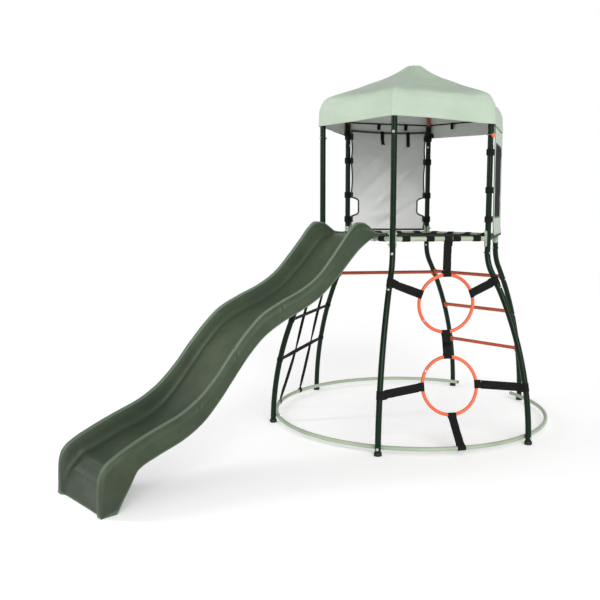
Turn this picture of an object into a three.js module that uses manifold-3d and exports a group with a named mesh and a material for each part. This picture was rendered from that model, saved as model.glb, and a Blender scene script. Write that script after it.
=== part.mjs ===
// Dome climber: a hexagonal climbing tower with a fabric roof, a slide, a rope ladder net,
// two swinging hoops and a rung ladder. Millimetres, +Z up, the slide runs out toward -Y.
import * as THREE from 'three';
import { mergeVertices } from 'three/addons/utils/BufferGeometryUtils.js';
import Module from 'manifold-3d';

const wasm = await Module();
wasm.setup();

// ---- Driving dimensions ----
const GAP = 0.3;                    // clearance between pieces that touch
const SIDES = 8;                    // facets round a tube

const TOWER_R = 600;                // axis of the tower to a post's centre
const FOOT_R = 925;                 // axis of the tower to a foot's centre
const LADDER_FOOT_Y = 875;          // the two ladder legs stay parallel and end this far back
const LEG_TOP_Z = 997;              // joint between a leg and its post
const BEND_R = 230;                 // bend at the foot of a post
const BEND_TOP_Z = 1120;            // posts are upright above this height
const POST_TOP_Z = 1950;
const ROOF_TUBE_LOW_Z = 1730;       // the roof tubes stand this far down inside the posts
const LEG_TUBE = { outer: 17.5, inner: 15.5 };

const ROOF_TUBE_R = 11;
const ROOF_BEND_Z = 1962;
const ROOF_BEND_R = 80;
const ROOF_PITCH = 21.5;            // degrees above level
const HUB_R = 54;

const RING_R = 892;                 // base ring, inside the feet
const RING_Z = 40;
const RING_TUBE_R = 12.5;
const RING_START = 105.6;           // the ring is open at the ladder
const RING_END = 434.4;

const DECK_Z = 1200;                // centre of the platform bars
const DECK_BAR_R = 14;
const DECK_PLATE_H = 100;
const DECK_MAT_APOTHEM = 497;
const DECK_LOOP_R = 17.6;
const LOOP_W = 50;

const RUNG_R = 12.5;
const RUNG_Z = [385, 658, 915];
const SIDE_BAR_Z = 908;
const RUNG_PLATE_H = 46;

const HOOP_R = 168;
const HOOP_TUBE_R = 10;
const UPPER_HOOP = { out: 620, z: 827, tilt: 0 };
const LOWER_HOOP = { out: 700, z: 355, tilt: 14.4 };
const STRAP_W = 50;
const STRAP_T = 3;
const HOOP_STRAP_LATERAL = 44;      // the top strap hangs beside a platform loop, off the bar's middle

const NET_W = 25;
const NET_CROSS_Z = [410, 665];

const WALL_T = 3;
const WALL_TOP_Z = 1925;
const WALL_STRAP_Z = [1300, 1470, 1710, 1876];
const TIE_LATERAL = [50, -143];

const BALL = { out: 537.4, lateral: -325.4, z: 1807, tail: 46 };

const SLIDE_T = 5;

// Post angles seen from above; the slide leaves between the two front posts.
const POSTS = { front_left: 240, front_right: 300, right: 0, rear_right: 60, rear_left: 120, left: 180 };
const SIDE_ANGLE = { front: 270, front_right: 330, rear_right: 30, rear: 90, rear_left: 150, front_left: 210 };

// ---- Materials ----
const paint = (color) => new THREE.MeshStandardMaterial({ color, roughness: 0.35, metalness: 0.1 });
const cloth = (color) => new THREE.MeshStandardMaterial({ color, roughness: 0.95, metalness: 0 });
const GREEN = paint(0x173a26);
const MINT = paint(0xb9d8be);
const ORANGE = paint(0xc4502f);
const CORAL = paint(0xe8714f);
const PLASTIC = new THREE.MeshStandardMaterial({ color: 0x3c4f3f, roughness: 0.5, metalness: 0 });
const BLACK = new THREE.MeshStandardMaterial({ color: 0x18181a, roughness: 0.6, metalness: 0 });
const ZINC = new THREE.MeshStandardMaterial({ color: 0xb8bcc0, roughness: 0.3, metalness: 1 });
const WEBBING = cloth(0x1b1b1c);
const CANOPY = cloth(0xbfd6c0);
const WALL = cloth(0xc9ccc8);

// ---- Small helpers ----
const rad = THREE.MathUtils.degToRad;
const vec = (x, y, z) => new THREE.Vector3(x, y, z);
const polar = (deg, r, z) => vec(r * Math.cos(rad(deg)), r * Math.sin(rad(deg)), z);
const apothem = (r) => r * Math.cos(rad(30));

// Corner radius of a polygon with n sides whose flats stay outside radius r.
const clearOf = (r, n = SIDES) => r / Math.cos(Math.PI / n);

const tower = new THREE.Group();

function add(name, geometry, material, parent = tower) {
  const mesh = new THREE.Mesh(geometry, material);
  mesh.name = name;
  parent.add(mesh);
  return mesh;
}

// A child group turned so that its +X points out through one side of the tower.
function sideFrame(side) {
  const group = new THREE.Group();
  group.rotation.z = rad(SIDE_ANGLE[side]);
  tower.add(group);
  return group;
}

// ---- Solids ----
function toSolid(geometry) {
  const bare = new THREE.BufferGeometry();
  bare.setAttribute('position', geometry.getAttribute('position').clone());
  if (geometry.index) bare.setIndex(geometry.index.clone());
  const merged = mergeVertices(bare, 1e-3);
  const triangles = Array.from(merged.index.array).filter((_, i, all) => {
    const t = i - (i % 3);
    return all[t] !== all[t + 1] && all[t + 1] !== all[t + 2] && all[t] !== all[t + 2];
  });
  return new wasm.Manifold(new wasm.Mesh({
    numProp: 3,
    vertProperties: Float32Array.from(merged.attributes.position.array),
    triVerts: Uint32Array.from(triangles),
  }));
}

function toGeometry(solid) {
  const mesh = solid.getMesh();
  const geometry = new THREE.BufferGeometry();
  geometry.setAttribute('position', new THREE.Float32BufferAttribute(mesh.vertProperties, 3));
  geometry.setIndex(Array.from(mesh.triVerts));
  geometry.computeVertexNormals();
  return geometry;
}

function join(geometries) {
  return toGeometry(geometries.map(toSolid).reduce((a, b) => a.add(b)));
}

function cut(geometry, cutters) {
  return toGeometry(cutters.map(toSolid).reduce((a, b) => a.subtract(b), toSolid(geometry)));
}

// ---- Paths and tubes ----
// A curve given by its stations: a tube along it has one step from each station to the next.
class StationPath extends THREE.Curve {
  constructor(points, tangents) {
    super();
    this.points = points;
    this.tangents = tangents;
  }

  index(u) {
    return Math.round(u * (this.points.length - 1));
  }

  getPointAt(u, target = new THREE.Vector3()) {
    return target.copy(this.points[this.index(u)]);
  }

  getTangentAt(u, target = new THREE.Vector3()) {
    return target.copy(this.tangents[this.index(u)]);
  }
}

function straight(a, b) {
  const along = b.clone().sub(a).normalize();
  return new StationPath([a, b], [along, along]);
}

function ringPoints(radius, n, turn = 0) {
  return Array.from({ length: n }, (_, i) => {
    const t = turn + (i / n) * 2 * Math.PI;
    return new THREE.Vector2(radius * Math.cos(t), radius * Math.sin(t));
  });
}

function tube(path, outer, inner = 0, sides = SIDES) {
  const section = new THREE.Shape(ringPoints(outer, sides));
  if (inner > 0) section.holes.push(new THREE.Path(ringPoints(inner, sides)));
  return new THREE.ExtrudeGeometry(section, {
    extrudePath: path,
    steps: path.points.length - 1,
    bevelEnabled: false,
  });
}

const rod = (a, b, radius, sides = SIDES) => tube(straight(a, b), radius, 0, sides);

// A body of revolution about +Z, from [radius, height] pairs.
function turned(profile, segments, start = 0) {
  const points = profile.map(([r, z]) => new THREE.Vector2(r, z));
  return new THREE.LatheGeometry(points, segments, rad(start)).rotateX(Math.PI / 2);
}

// Places geometry drawn in X, Y, Z along the directions x, y, z at an origin.
function place(geometry, origin, x, y, z) {
  return geometry.applyMatrix4(new THREE.Matrix4().makeBasis(x, y, z).setPosition(origin));
}

// ---- Leg and post centre lines ----
// A leg is one wide arc, upright at the ground; the post's tight bend turns back to upright.
// "reach" is how far the foot stands outside the post.
function legShape(reach) {
  const turn = 2 * Math.atan2(reach, BEND_TOP_Z);
  const arcR = BEND_TOP_Z / Math.sin(turn) - BEND_R;
  return { turn, arcR };
}

const RADIAL_LEG = legShape(FOOT_R - TOWER_R);
const LADDER_TOP_Y = TOWER_R * Math.sin(rad(60));
const LADDER_LEG = legShape(LADDER_FOOT_Y - LADDER_TOP_Y);
const isLadder = (name) => name === 'rear_left' || name === 'rear_right';

// Maps "distance out, height" on a leg's own plane to the tower's axes.
function legPlane(name) {
  if (!isLadder(name)) {
    const out = polar(POSTS[name], 1, 0);
    return { out, base: vec(0, 0, 0), foot: FOOT_R, top: TOWER_R, shape: RADIAL_LEG };
  }
  const x = TOWER_R * Math.cos(rad(POSTS[name]));
  return { out: vec(0, 1, 0), base: vec(x, 0, 0), foot: LADDER_FOOT_Y, top: LADDER_TOP_Y, shape: LADDER_LEG };
}

function onPlane(plane, out, z) {
  return plane.base.clone().addScaledVector(plane.out, out).setZ(z);
}

// Point and upward tangent on a leg or post at a height.
function legAt(name, z) {
  const plane = legPlane(name);
  const { turn, arcR } = plane.shape;
  const jointZ = arcR * Math.sin(turn);
  let out = plane.top;
  let lean = 0;
  if (z < jointZ) {
    lean = Math.asin(z / arcR);
    out = plane.foot - arcR * (1 - Math.cos(lean));
  } else if (z < BEND_TOP_Z) {
    lean = Math.asin((BEND_TOP_Z - z) / BEND_R);
    out = plane.top + BEND_R * (1 - Math.cos(lean));
  }
  const up = plane.out.clone().multiplyScalar(-Math.sin(lean)).setZ(Math.cos(lean));
  return { point: onPlane(plane, out, z), up };
}

function legPath(name, heights) {
  const stations = heights.map((z) => legAt(name, z));
  return new StationPath(stations.map((s) => s.point), stations.map((s) => s.up));
}

const LEG_STATIONS = [6.4, 150, 295, 460, 590, 730, 860, LEG_TOP_Z - GAP];
const POST_STATIONS = [LEG_TOP_Z, 1025, 1055, 1087, BEND_TOP_Z, POST_TOP_Z];

// Point and direction on the straight facet of a leg or post that spans a height.
function facetAt(name, z) {
  const stations = z < LEG_TOP_Z ? LEG_STATIONS : POST_STATIONS;
  const i = stations.findIndex((height) => height > z);
  const a = legAt(name, stations[i - 1]).point;
  const b = legAt(name, stations[i]).point;
  const up = b.clone().sub(a);
  return { point: a.clone().addScaledVector(up, (z - a.z) / up.z), up: up.normalize() };
}

for (const name of Object.keys(POSTS)) {
  add(`leg_${name}`, tube(legPath(name, LEG_STATIONS), LEG_TUBE.outer, LEG_TUBE.inner), GREEN);
  add(`post_${name}`, tube(legPath(name, POST_STATIONS), LEG_TUBE.outer, LEG_TUBE.inner), GREEN);
}

// ---- Foot caps ----
const capBore = clearOf(LEG_TUBE.outer + 1.1, 10);
const footCap = turned([[0, 0], [23, 0], [23, 18], [21.5, 20], [capBore, 20], [capBore, 6], [0, 6]], 10);
for (const [name, angle] of Object.entries(POSTS)) {
  const cap = add(`foot_cap_${name}`, footCap, BLACK);
  cap.position.copy(legAt(name, 0).point);
  cap.rotation.z = rad(angle);
}

// ---- Roof frame ----
function roofTubePath() {
  const points = [vec(TOWER_R, 0, ROOF_TUBE_LOW_Z), vec(TOWER_R, 0, ROOF_BEND_Z)];
  const tangents = [vec(0, 0, 1), vec(0, 0, 1)];
  const bend = rad(90 - ROOF_PITCH);
  for (let i = 1; i <= 4; i += 1) {
    const a = (bend * i) / 4;
    points.push(vec(TOWER_R - ROOF_BEND_R * (1 - Math.cos(a)), 0, ROOF_BEND_Z + ROOF_BEND_R * Math.sin(a)));
    tangents.push(vec(-Math.sin(a), 0, Math.cos(a)));
  }
  const last = points[points.length - 1];
  const along = tangents[tangents.length - 1];
  const run = (last.x - 34) / Math.cos(rad(ROOF_PITCH));
  points.push(last.clone().addScaledVector(along, run));
  tangents.push(along);
  return new StationPath(points, tangents);
}

const roofPath = roofTubePath();
const roofEnd = roofPath.points[roofPath.points.length - 1];
const roofAlong = roofPath.tangents[roofPath.tangents.length - 1];
for (const [name, angle] of Object.entries(POSTS)) {
  const rafter = add(`roof_tube_${name}`, tube(roofPath, ROOF_TUBE_R, ROOF_TUBE_R - 1.5), ORANGE);
  rafter.rotation.z = rad(angle);
}

// The hub has one blind socket for each roof tube.
const hubBlank = turned([[0, 2206], [48, 2206], [HUB_R, 2212], [HUB_R, 2244], [40, 2257], [0, 2262]], 18);
const socket = rod(
  roofEnd.clone().addScaledVector(roofAlong, GAP),
  roofEnd.clone().addScaledVector(roofAlong, -60),
  clearOf(ROOF_TUBE_R + GAP),
);
add('roof_hub', cut(hubBlank, Object.values(POSTS).map((a) => socket.clone().rotateZ(rad(a)))), BLACK);

// ---- Bars with saddle ends ----
// A half-round plate that hugs a leg, opening away from the bar that is welded to it.
function saddle(at, up, toward, height) {
  const z = up.clone().normalize();
  const x = toward.clone().addScaledVector(z, -toward.dot(z)).normalize();
  const y = z.clone().cross(x);
  const inner = LEG_TUBE.outer + GAP;
  const outline = [];
  for (let i = 0; i <= 4; i += 1) {
    const a = rad(-52 + 26 * i);
    outline.push(new THREE.Vector2((inner + 3.2) * Math.cos(a), (inner + 3.2) * Math.sin(a)));
  }
  for (let i = 4; i >= 0; i -= 1) {
    const a = rad(-52 + 26 * i);
    const reach = inner / Math.cos(rad(13));
    outline.push(new THREE.Vector2(reach * Math.cos(a), reach * Math.sin(a)));
  }
  const plate = new THREE.ExtrudeGeometry(new THREE.Shape(outline), { depth: height, bevelEnabled: false });
  return place(plate.translate(0, 0, -height / 2), at, x, y, z);
}

function spanBar(from, to, z, radius, plateHeight) {
  const a = facetAt(from, z);
  const b = facetAt(to, z);
  const along = b.point.clone().sub(a.point).normalize();
  const copes = [a, b].map(({ point, up }) => rod(
    point.clone().addScaledVector(up, -60),
    point.clone().addScaledVector(up, 60),
    LEG_TUBE.outer + GAP + 1.6,
    12,
  ));
  return join([
    cut(rod(a.point, b.point, radius), copes),
    saddle(a.point, a.up, along, plateHeight),
    saddle(b.point, b.up, along.clone().negate(), plateHeight),
  ]);
}

const SIDE_POSTS = {
  front: ['front_left', 'front_right'],
  front_right: ['front_right', 'right'],
  rear_right: ['right', 'rear_right'],
  rear: ['rear_right', 'rear_left'],
  rear_left: ['rear_left', 'left'],
  front_left: ['left', 'front_left'],
};
for (const [side, [from, to]] of Object.entries(SIDE_POSTS)) {
  add(`deck_bar_${side}`, spanBar(from, to, DECK_Z, DECK_BAR_R, DECK_PLATE_H), MINT);
}
RUNG_Z.forEach((z, i) => {
  add(`ladder_rung_${i + 1}`, spanBar('rear_left', 'rear_right', z, RUNG_R, RUNG_PLATE_H), ORANGE);
});
add('rear_left_bar', spanBar('rear_left', 'left', SIDE_BAR_Z, RUNG_R, RUNG_PLATE_H), ORANGE);

// ---- Base ring: five bent tubes that meet at the feet ----
function ringArc(fromDeg, toDeg) {
  const trim = THREE.MathUtils.radToDeg(GAP / RING_R);
  const steps = Math.round((toDeg - fromDeg) / 7.5);
  const points = [];
  const tangents = [];
  for (let i = 0; i <= steps; i += 1) {
    const a = fromDeg + trim + ((toDeg - fromDeg - 2 * trim) * i) / steps;
    points.push(polar(a, RING_R, RING_Z));
    tangents.push(polar(a + 90, 1, 0));
  }
  return tube(new StationPath(points, tangents), RING_TUBE_R);
}

const RING_JOINTS = [RING_START, 180, 240, 300, 360, RING_END];
for (let i = 0; i < 5; i += 1) {
  add(`base_ring_${i + 1}`, ringArc(RING_JOINTS[i], RING_JOINTS[i + 1]), MINT);
}

// ---- Webbing ----
// A loop of webbing round a tube that runs along an axis; one corner points toward the strip.
function webLoop(at, axis, clear, width, toward) {
  const outer = clear + STRAP_T;
  const ring = new THREE.Shape(ringPoints(outer, 8));
  ring.holes.push(new THREE.Path(ringPoints(clear, 8)));
  const loop = new THREE.ExtrudeGeometry(ring, { depth: width, bevelEnabled: false });
  const z = axis.clone().normalize();
  const x = toward.clone().addScaledVector(z, -toward.dot(z)).normalize();
  return place(loop.translate(0, 0, -width / 2), at, x, z.clone().cross(x), z);
}

// The flat strip between two points, its width square to the line and along "across".
function webStrip(a, b, across, width) {
  const along = b.clone().sub(a);
  const strip = new THREE.BoxGeometry(along.length(), STRAP_T, width);
  const x = along.normalize();
  const z = across.clone().addScaledVector(x, -across.dot(x)).normalize();
  return place(strip, a.clone().add(b).multiplyScalar(0.5), x, z.clone().cross(x), z);
}

// A strap between two tubes, each given as { point, along, clear }. A strap that leaves its tube
// askew has a "skew" too: how much later its flat part starts, so that its corner stays clear.
function strap(a, b, width) {
  const along = b.point.clone().sub(a.point).normalize();
  const across = a.along.clone().add(b.along);
  const start = ({ clear, skew = 0 }) => clear + 0.6 * STRAP_T + skew;
  return join([
    webLoop(a.point, a.along, a.clear, width, along),
    webLoop(b.point, b.along, b.clear, width, along.clone().negate()),
    webStrip(
      a.point.clone().addScaledVector(along, start(a)),
      b.point.clone().addScaledVector(along, -start(b)),
      across,
      width,
    ),
  ]);
}

// ---- Hoops ----
// Side axes: out through the front-right side, across it from left to right, and up.
const hoopOut = polar(SIDE_ANGLE.front_right, 1, 0);
const hoopAcross = polar(SIDE_ANGLE.front_right + 90, 1, 0);

function hoopFrame({ out, z, tilt }) {
  const up = hoopOut.clone().multiplyScalar(-Math.sin(rad(tilt))).setZ(Math.cos(rad(tilt)));
  const centre = hoopOut.clone().multiplyScalar(out).setZ(z);
  const face = hoopAcross.clone().cross(up);
  return { centre, up, face };
}

// Point and direction of a hoop's tube, "deg" turned from its right-hand side over its top.
function onHoop(frame, deg) {
  const c = Math.cos(rad(deg));
  const s = Math.sin(rad(deg));
  const point = frame.centre.clone().addScaledVector(hoopAcross, HOOP_R * c).addScaledVector(frame.up, HOOP_R * s);
  const along = hoopAcross.clone().multiplyScalar(-s).addScaledVector(frame.up, c);
  return { point, along };
}

// The hoop is one bent tube closed by a small bolt through its joint.
function hoop(name, frame, boltDeg) {
  const ring = new THREE.TorusGeometry(HOOP_R, HOOP_TUBE_R, SIDES, 32);
  const bolt = new THREE.CylinderGeometry(4.5, 4.5, 2 * HOOP_TUBE_R + 7, 6).rotateX(Math.PI / 2);
  bolt.translate(HOOP_R * Math.cos(rad(boltDeg)), HOOP_R * Math.sin(rad(boltDeg)), 0);
  const mesh = add(name, join([ring, bolt]), CORAL);
  mesh.setRotationFromMatrix(new THREE.Matrix4().makeBasis(hoopAcross, frame.up, frame.face));
  mesh.position.copy(frame.centre);
}

const upper = hoopFrame(UPPER_HOOP);
const lower = hoopFrame(LOWER_HOOP);
hoop('upper_hoop', upper, 215);
hoop('lower_hoop', lower, 148);

const HOOP_CLEAR = clearOf(HOOP_TUBE_R + 2.8);
const LEG_CLEAR = clearOf(LEG_TUBE.outer + 2);
const BAR_CLEAR = clearOf(DECK_BAR_R + 0.4);
const RING_CLEAR = clearOf(RING_TUBE_R + 1.2);

function legAnchor(post, z) {
  const { point, up } = facetAt(post, z);
  return { point, along: up, clear: LEG_CLEAR };
}

function hoopAnchor(frame, deg, like) {
  const { point, along } = onHoop(frame, deg);
  if (along.dot(like) < 0) along.negate();
  return { point, along, clear: HOOP_CLEAR };
}

function hoopToLeg(frame, deg, post, z) {
  const leg = legAnchor(post, z);
  return strap(leg, hoopAnchor(frame, deg, leg.along), STRAP_W);
}

const barAnchor = {
  point: hoopOut.clone().multiplyScalar(apothem(TOWER_R)).addScaledVector(hoopAcross, HOOP_STRAP_LATERAL).setZ(DECK_Z),
  along: hoopAcross,
  clear: BAR_CLEAR,
  skew: 2.4,
};
const ringAnchor = {
  point: hoopOut.clone().multiplyScalar(RING_R).setZ(RING_Z), along: hoopAcross, clear: RING_CLEAR,
};
const hoopStraps = {
  hoop_strap_top: strap(barAnchor, hoopAnchor(upper, 90, hoopAcross), STRAP_W),
  hoop_strap_upper_left: hoopToLeg(upper, 160, 'front_right', 950),
  hoop_strap_upper_right: hoopToLeg(upper, 20, 'right', 950),
  hoop_strap_middle: strap(hoopAnchor(upper, 270, hoopAcross), hoopAnchor(lower, 90, hoopAcross), STRAP_W),
  hoop_strap_lower_left: hoopToLeg(lower, 180, 'front_right', 338),
  hoop_strap_lower_right: hoopToLeg(lower, 0, 'right', 338),
  hoop_strap_bottom: strap(hoopAnchor(lower, 270, hoopAcross), ringAnchor, STRAP_W),
};
for (const [name, geometry] of Object.entries(hoopStraps)) add(name, geometry, WEBBING);

// ---- Climbing net: two upright bands sewn to two cross bands ----
const netOut = polar(SIDE_ANGLE.front_left, 1, 0);
const netAcross = polar(SIDE_ANGLE.front_left + 90, 1, 0);

function netPoint(out, lateral, z) {
  return netOut.clone().multiplyScalar(out).addScaledVector(netAcross, lateral).setZ(z);
}

// From the platform bar over both cross bands down to the base ring.
function netUpright(topLateral, footLateral) {
  const lateralAt = (z) => footLateral + ((topLateral - footLateral) * (z - RING_Z)) / (DECK_Z - RING_Z);
  const top = netPoint(apothem(TOWER_R), topLateral, DECK_Z);
  const footDeg = SIDE_ANGLE.front_left + THREE.MathUtils.radToDeg(Math.asin(footLateral / RING_R));
  const foot = polar(footDeg, RING_R, RING_Z);
  const crossings = NET_CROSS_Z.slice().reverse().map((z) => {
    const leg = facetAt('left', z).point;
    return netPoint(leg.dot(netOut), lateralAt(z), z);
  });
  const towardFoot = foot.clone().sub(crossings[1]).normalize();
  const towardTop = top.clone().sub(crossings[0]).normalize();
  const route = [
    top.clone().addScaledVector(towardTop, -BAR_CLEAR - 0.6 * STRAP_T),
    ...crossings,
    foot.clone().addScaledVector(towardFoot, -RING_CLEAR - 0.6 * STRAP_T),
  ];
  const strips = route.slice(1).map((p, i) => webStrip(route[i], p, netAcross, NET_W));
  return [
    webLoop(top, netAcross, BAR_CLEAR, NET_W, towardTop.clone().negate()),
    ...strips,
    webLoop(foot, polar(footDeg + 90, 1, 0), RING_CLEAR, NET_W, towardFoot.clone().negate()),
  ];
}

add('climbing_net', join([
  ...netUpright(150, 125),
  ...netUpright(-130, -235),
  ...NET_CROSS_Z.map((z) => strap(legAnchor('left', z), legAnchor('front_left', z), NET_W)),
]), WEBBING);

// ---- Platform: a woven mat with loops of webbing sewn on, four round each bar ----
const LOOP_LATERAL = [-220, -75, 75, 220];
const HOOP_SIDE_LOOP_LATERAL = [-220, -70, 97, 225];

function deckLoop(lateral, angle) {
  const clear = clearOf(DECK_BAR_R + 0.4, 7);
  const outline = Array.from({ length: 10 }, (_, i) => {
    const a = rad(-160) + (rad(325) * i) / 9;
    return new THREE.Vector2(DECK_LOOP_R * Math.cos(a), DECK_LOOP_R * Math.sin(a));
  });
  outline.push(new THREE.Vector2(-62, 3.8), new THREE.Vector2(-62, 1), new THREE.Vector2(-16.9, 1));
  const shape = new THREE.Shape(outline);
  shape.holes.push(new THREE.Path(ringPoints(clear, 7)));
  const loop = new THREE.ExtrudeGeometry(shape, { depth: LOOP_W, bevelEnabled: false });
  loop.translate(0, 0, -LOOP_W / 2);
  place(loop, vec(apothem(TOWER_R), lateral, DECK_Z), vec(1, 0, 0), vec(0, 0, 1), vec(0, -1, 0));
  return loop.rotateZ(rad(angle));
}

const matShape = new THREE.Shape(ringPoints(DECK_MAT_APOTHEM / Math.cos(rad(30)), 6));
const mat = new THREE.ExtrudeGeometry(matShape, { depth: 4, bevelEnabled: false });
mat.translate(0, 0, DECK_Z - 2);
const deckLoops = Object.entries(SIDE_ANGLE).flatMap(([side, angle]) => {
  const laterals = side === 'front_right' ? HOOP_SIDE_LOOP_LATERAL : LOOP_LATERAL;
  return laterals.map((y) => deckLoop(y, angle));
});
add('deck_mat', join([mat, ...deckLoops]), WEBBING);

// ---- Slide: one moulded shell whose walls roll over into hollow side skirts ----
// Each station: distance out from the tower's axis, bed height, rail height, skirt foot, half width.
const SLIDE = [
  [468, 1223, 1231, 1219, 196],
  [540, 1223, 1239, 1218, 196],
  [570, 1222, 1257, 1208, 197],
  [610, 1215, 1282, 1190, 198],
  [650, 1199, 1296, 1168, 199],
  [695, 1170, 1298, 1140, 200],
  [745, 1125, 1267, 1100, 201],
  [810, 1063, 1199, 1042, 202],
  [900, 983, 1106, 966, 204],
  [1010, 903, 1006, 888, 206],
  [1130, 848, 940, 833, 208],
  [1270, 799, 889, 781, 210],
  [1400, 737, 832, 716, 211],
  [1500, 652, 754, 633, 212],
  [1600, 544, 655, 525, 213],
  [1700, 434, 545, 415, 214],
  [1800, 347, 458, 326, 215],
  [1910, 292, 396, 268, 216],
  [2050, 251, 349, 222, 217],
  [2150, 213, 313, 178, 218],
  [2195, 195, 294, 96, 220],
  [2235, 180, 277, 0, 222],
  [2290, 160, 251, 0, 223],
  [2325, 132, 220, 0, 223],
  [2340, 100, 186, 0, 223],
  [2341, 98, 186, 0, 223],
  [2345, 88, 170, 0, 223],
];
const SLIDE_FRONT_WALL = 25;        // stations from here on are solid down to the ground

// Half section, centre to outer skirt: share of the half width, then share of the wall's height.
const SLIDE_SECTION = [[0, -0.03], [0.5, -0.01], [0.68, 0.06], [0.77, 0.28], [0.815, 0.74], [0.86, 0.97], [0.92, 1], [0.97, 0.8]];

function slideTop([, bed, rail, foot, half]) {
  const side = SLIDE_SECTION.map(([x, h]) => [x * half, bed + h * (rail - bed)]);
  side.push([half, foot]);
  return [...side.slice(1).reverse().map(([x, z]) => [-x, z]), ...side];
}

// The underside follows the top at the shell's thickness, square to it.
function slideUnder(top, solidFront) {
  const last = top.length - 1;
  return top.map(([x, z], i) => {
    if (solidFront) return [x * 0.985, 1.2 * (1 - (x / top[last][0]) ** 2)];
    if (i === 0 || i === last) return [x - Math.sign(x) * SLIDE_T, z];
    const dx = top[i + 1][0] - top[i - 1][0];
    const dz = top[i + 1][1] - top[i - 1][1];
    const length = Math.hypot(dx, dz);
    return [x + (SLIDE_T * dz) / length, z - (SLIDE_T * dx) / length];
  });
}

// Skins a closed shell from matching rows of top and underside points.
function shellGeometry(tops, unders) {
  const width = tops[0].length;
  const rows = tops.length;
  const positions = [...tops.flat(), ...unders.flat()].flatMap((p) => [p.x, p.y, p.z]);
  const top = (r, c) => r * width + c;
  const under = (r, c) => rows * width + r * width + c;
  const faces = [];
  const quad = (a, b, c, d) => faces.push(a, b, c, a, c, d);
  for (let r = 0; r < rows - 1; r += 1) {
    for (let c = 0; c < width - 1; c += 1) {
      quad(top(r, c), top(r + 1, c), top(r + 1, c + 1), top(r, c + 1));
      quad(under(r, c), under(r, c + 1), under(r + 1, c + 1), under(r + 1, c));
    }
    quad(top(r, 0), under(r, 0), under(r + 1, 0), top(r + 1, 0));
    quad(top(r, width - 1), top(r + 1, width - 1), under(r + 1, width - 1), under(r, width - 1));
  }
  for (let c = 0; c < width - 1; c += 1) {
    quad(top(0, c), top(0, c + 1), under(0, c + 1), under(0, c));
    quad(top(rows - 1, c), under(rows - 1, c), under(rows - 1, c + 1), top(rows - 1, c + 1));
  }
  const geometry = new THREE.BufferGeometry();
  geometry.setAttribute('position', new THREE.Float32BufferAttribute(positions, 3));
  geometry.setIndex(faces);
  return geometry;
}

const slideTops = SLIDE.map(slideTop);
const slideUnders = slideTops.map((top, i) => slideUnder(top, i >= SLIDE_FRONT_WALL));
const toSlideRow = (row, i) => row.map(([x, z]) => vec(x, -SLIDE[i][0], z));
add('slide', shellGeometry(slideTops.map(toSlideRow), slideUnders.map(toSlideRow)), PLASTIC);

// Two U-shaped clamps hold the slide's lip down on the front bar.
function slideClamp() {
  const inner = clearOf(DECK_BAR_R + 0.5, 8);
  const outline = [];
  for (let i = 0; i <= 4; i += 1) {
    const a = rad(180 + 45 * i);
    outline.push(new THREE.Vector2((inner + 2.5) * Math.cos(a), (inner + 2.5) * Math.sin(a)));
  }
  outline.push(new THREE.Vector2(inner + 2.5, 15), new THREE.Vector2(42, 15));
  outline.push(new THREE.Vector2(42, 17.6), new THREE.Vector2(inner, 17.6));
  for (let i = 4; i >= 0; i -= 1) {
    const a = rad(180 + 45 * i);
    outline.push(new THREE.Vector2(inner * Math.cos(a), inner * Math.sin(a)));
  }
  outline.push(new THREE.Vector2(-inner, 17.6), new THREE.Vector2(-42, 17.6));
  outline.push(new THREE.Vector2(-42, 15), new THREE.Vector2(-inner - 2.5, 15));
  const clamp = new THREE.ExtrudeGeometry(new THREE.Shape(outline), { depth: 30, bevelEnabled: false });
  clamp.translate(0, 0, -15);
  return place(clamp, vec(0, 0, 0), vec(0, 1, 0), vec(0, 0, 1), vec(1, 0, 0));
}

for (const [name, x] of [['slide_clamp_left', -145], ['slide_clamp_right', 145]]) {
  add(name, slideClamp(), ZINC).position.set(x, -apothem(TOWER_R), DECK_Z);
}

// ---- Canopy: six sloping panels with a straight skirt, open below ----
const CANOPY_TOP = [[0, 2281], [70, 2258], [300, 2160], [545, 2058], [597, 2034], [618, 2005], [627, 1965]];
const CANOPY_HEM_Z = 1877;
const CANOPY_T = 3.5;
const canopyUnder = CANOPY_TOP.map(([r, z], i) => {
  const [r0, z0] = CANOPY_TOP[Math.max(i - 1, 0)];
  const [r1, z1] = i === CANOPY_TOP.length - 1 ? [r, z - 1] : CANOPY_TOP[i + 1];
  const length = Math.hypot(r1 - r0, z1 - z0);
  return [Math.max(0, r + (CANOPY_T * (z1 - z0)) / length), z - (CANOPY_T * (r1 - r0)) / length];
});
canopyUnder[0] = [0, CANOPY_TOP[0][1] - 4];
add('canopy', turned([
  ...canopyUnder,
  [CANOPY_TOP.at(-1)[0] - CANOPY_T, CANOPY_HEM_Z],
  [CANOPY_TOP.at(-1)[0], CANOPY_HEM_Z],
  ...CANOPY_TOP.slice().reverse(),
], 6, 30), CANOPY);

// ---- Fabric walls, sewn to webbing sleeves that wrap the posts ----
// Sleeves stand on the posts of a side frame, at lateral -300 and +300.
function sleeve(lateral, z, out, height = LOOP_W) {
  const bore = clearOf(LEG_TUBE.outer + GAP, 10);
  const ring = new THREE.Shape(ringPoints(bore + 1.2, 10));
  ring.holes.push(new THREE.Path(ringPoints(bore, 10)));
  const band = new THREE.ExtrudeGeometry(ring, { depth: height, bevelEnabled: false });
  return band.translate(out, lateral, z - height / 2);
}

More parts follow.
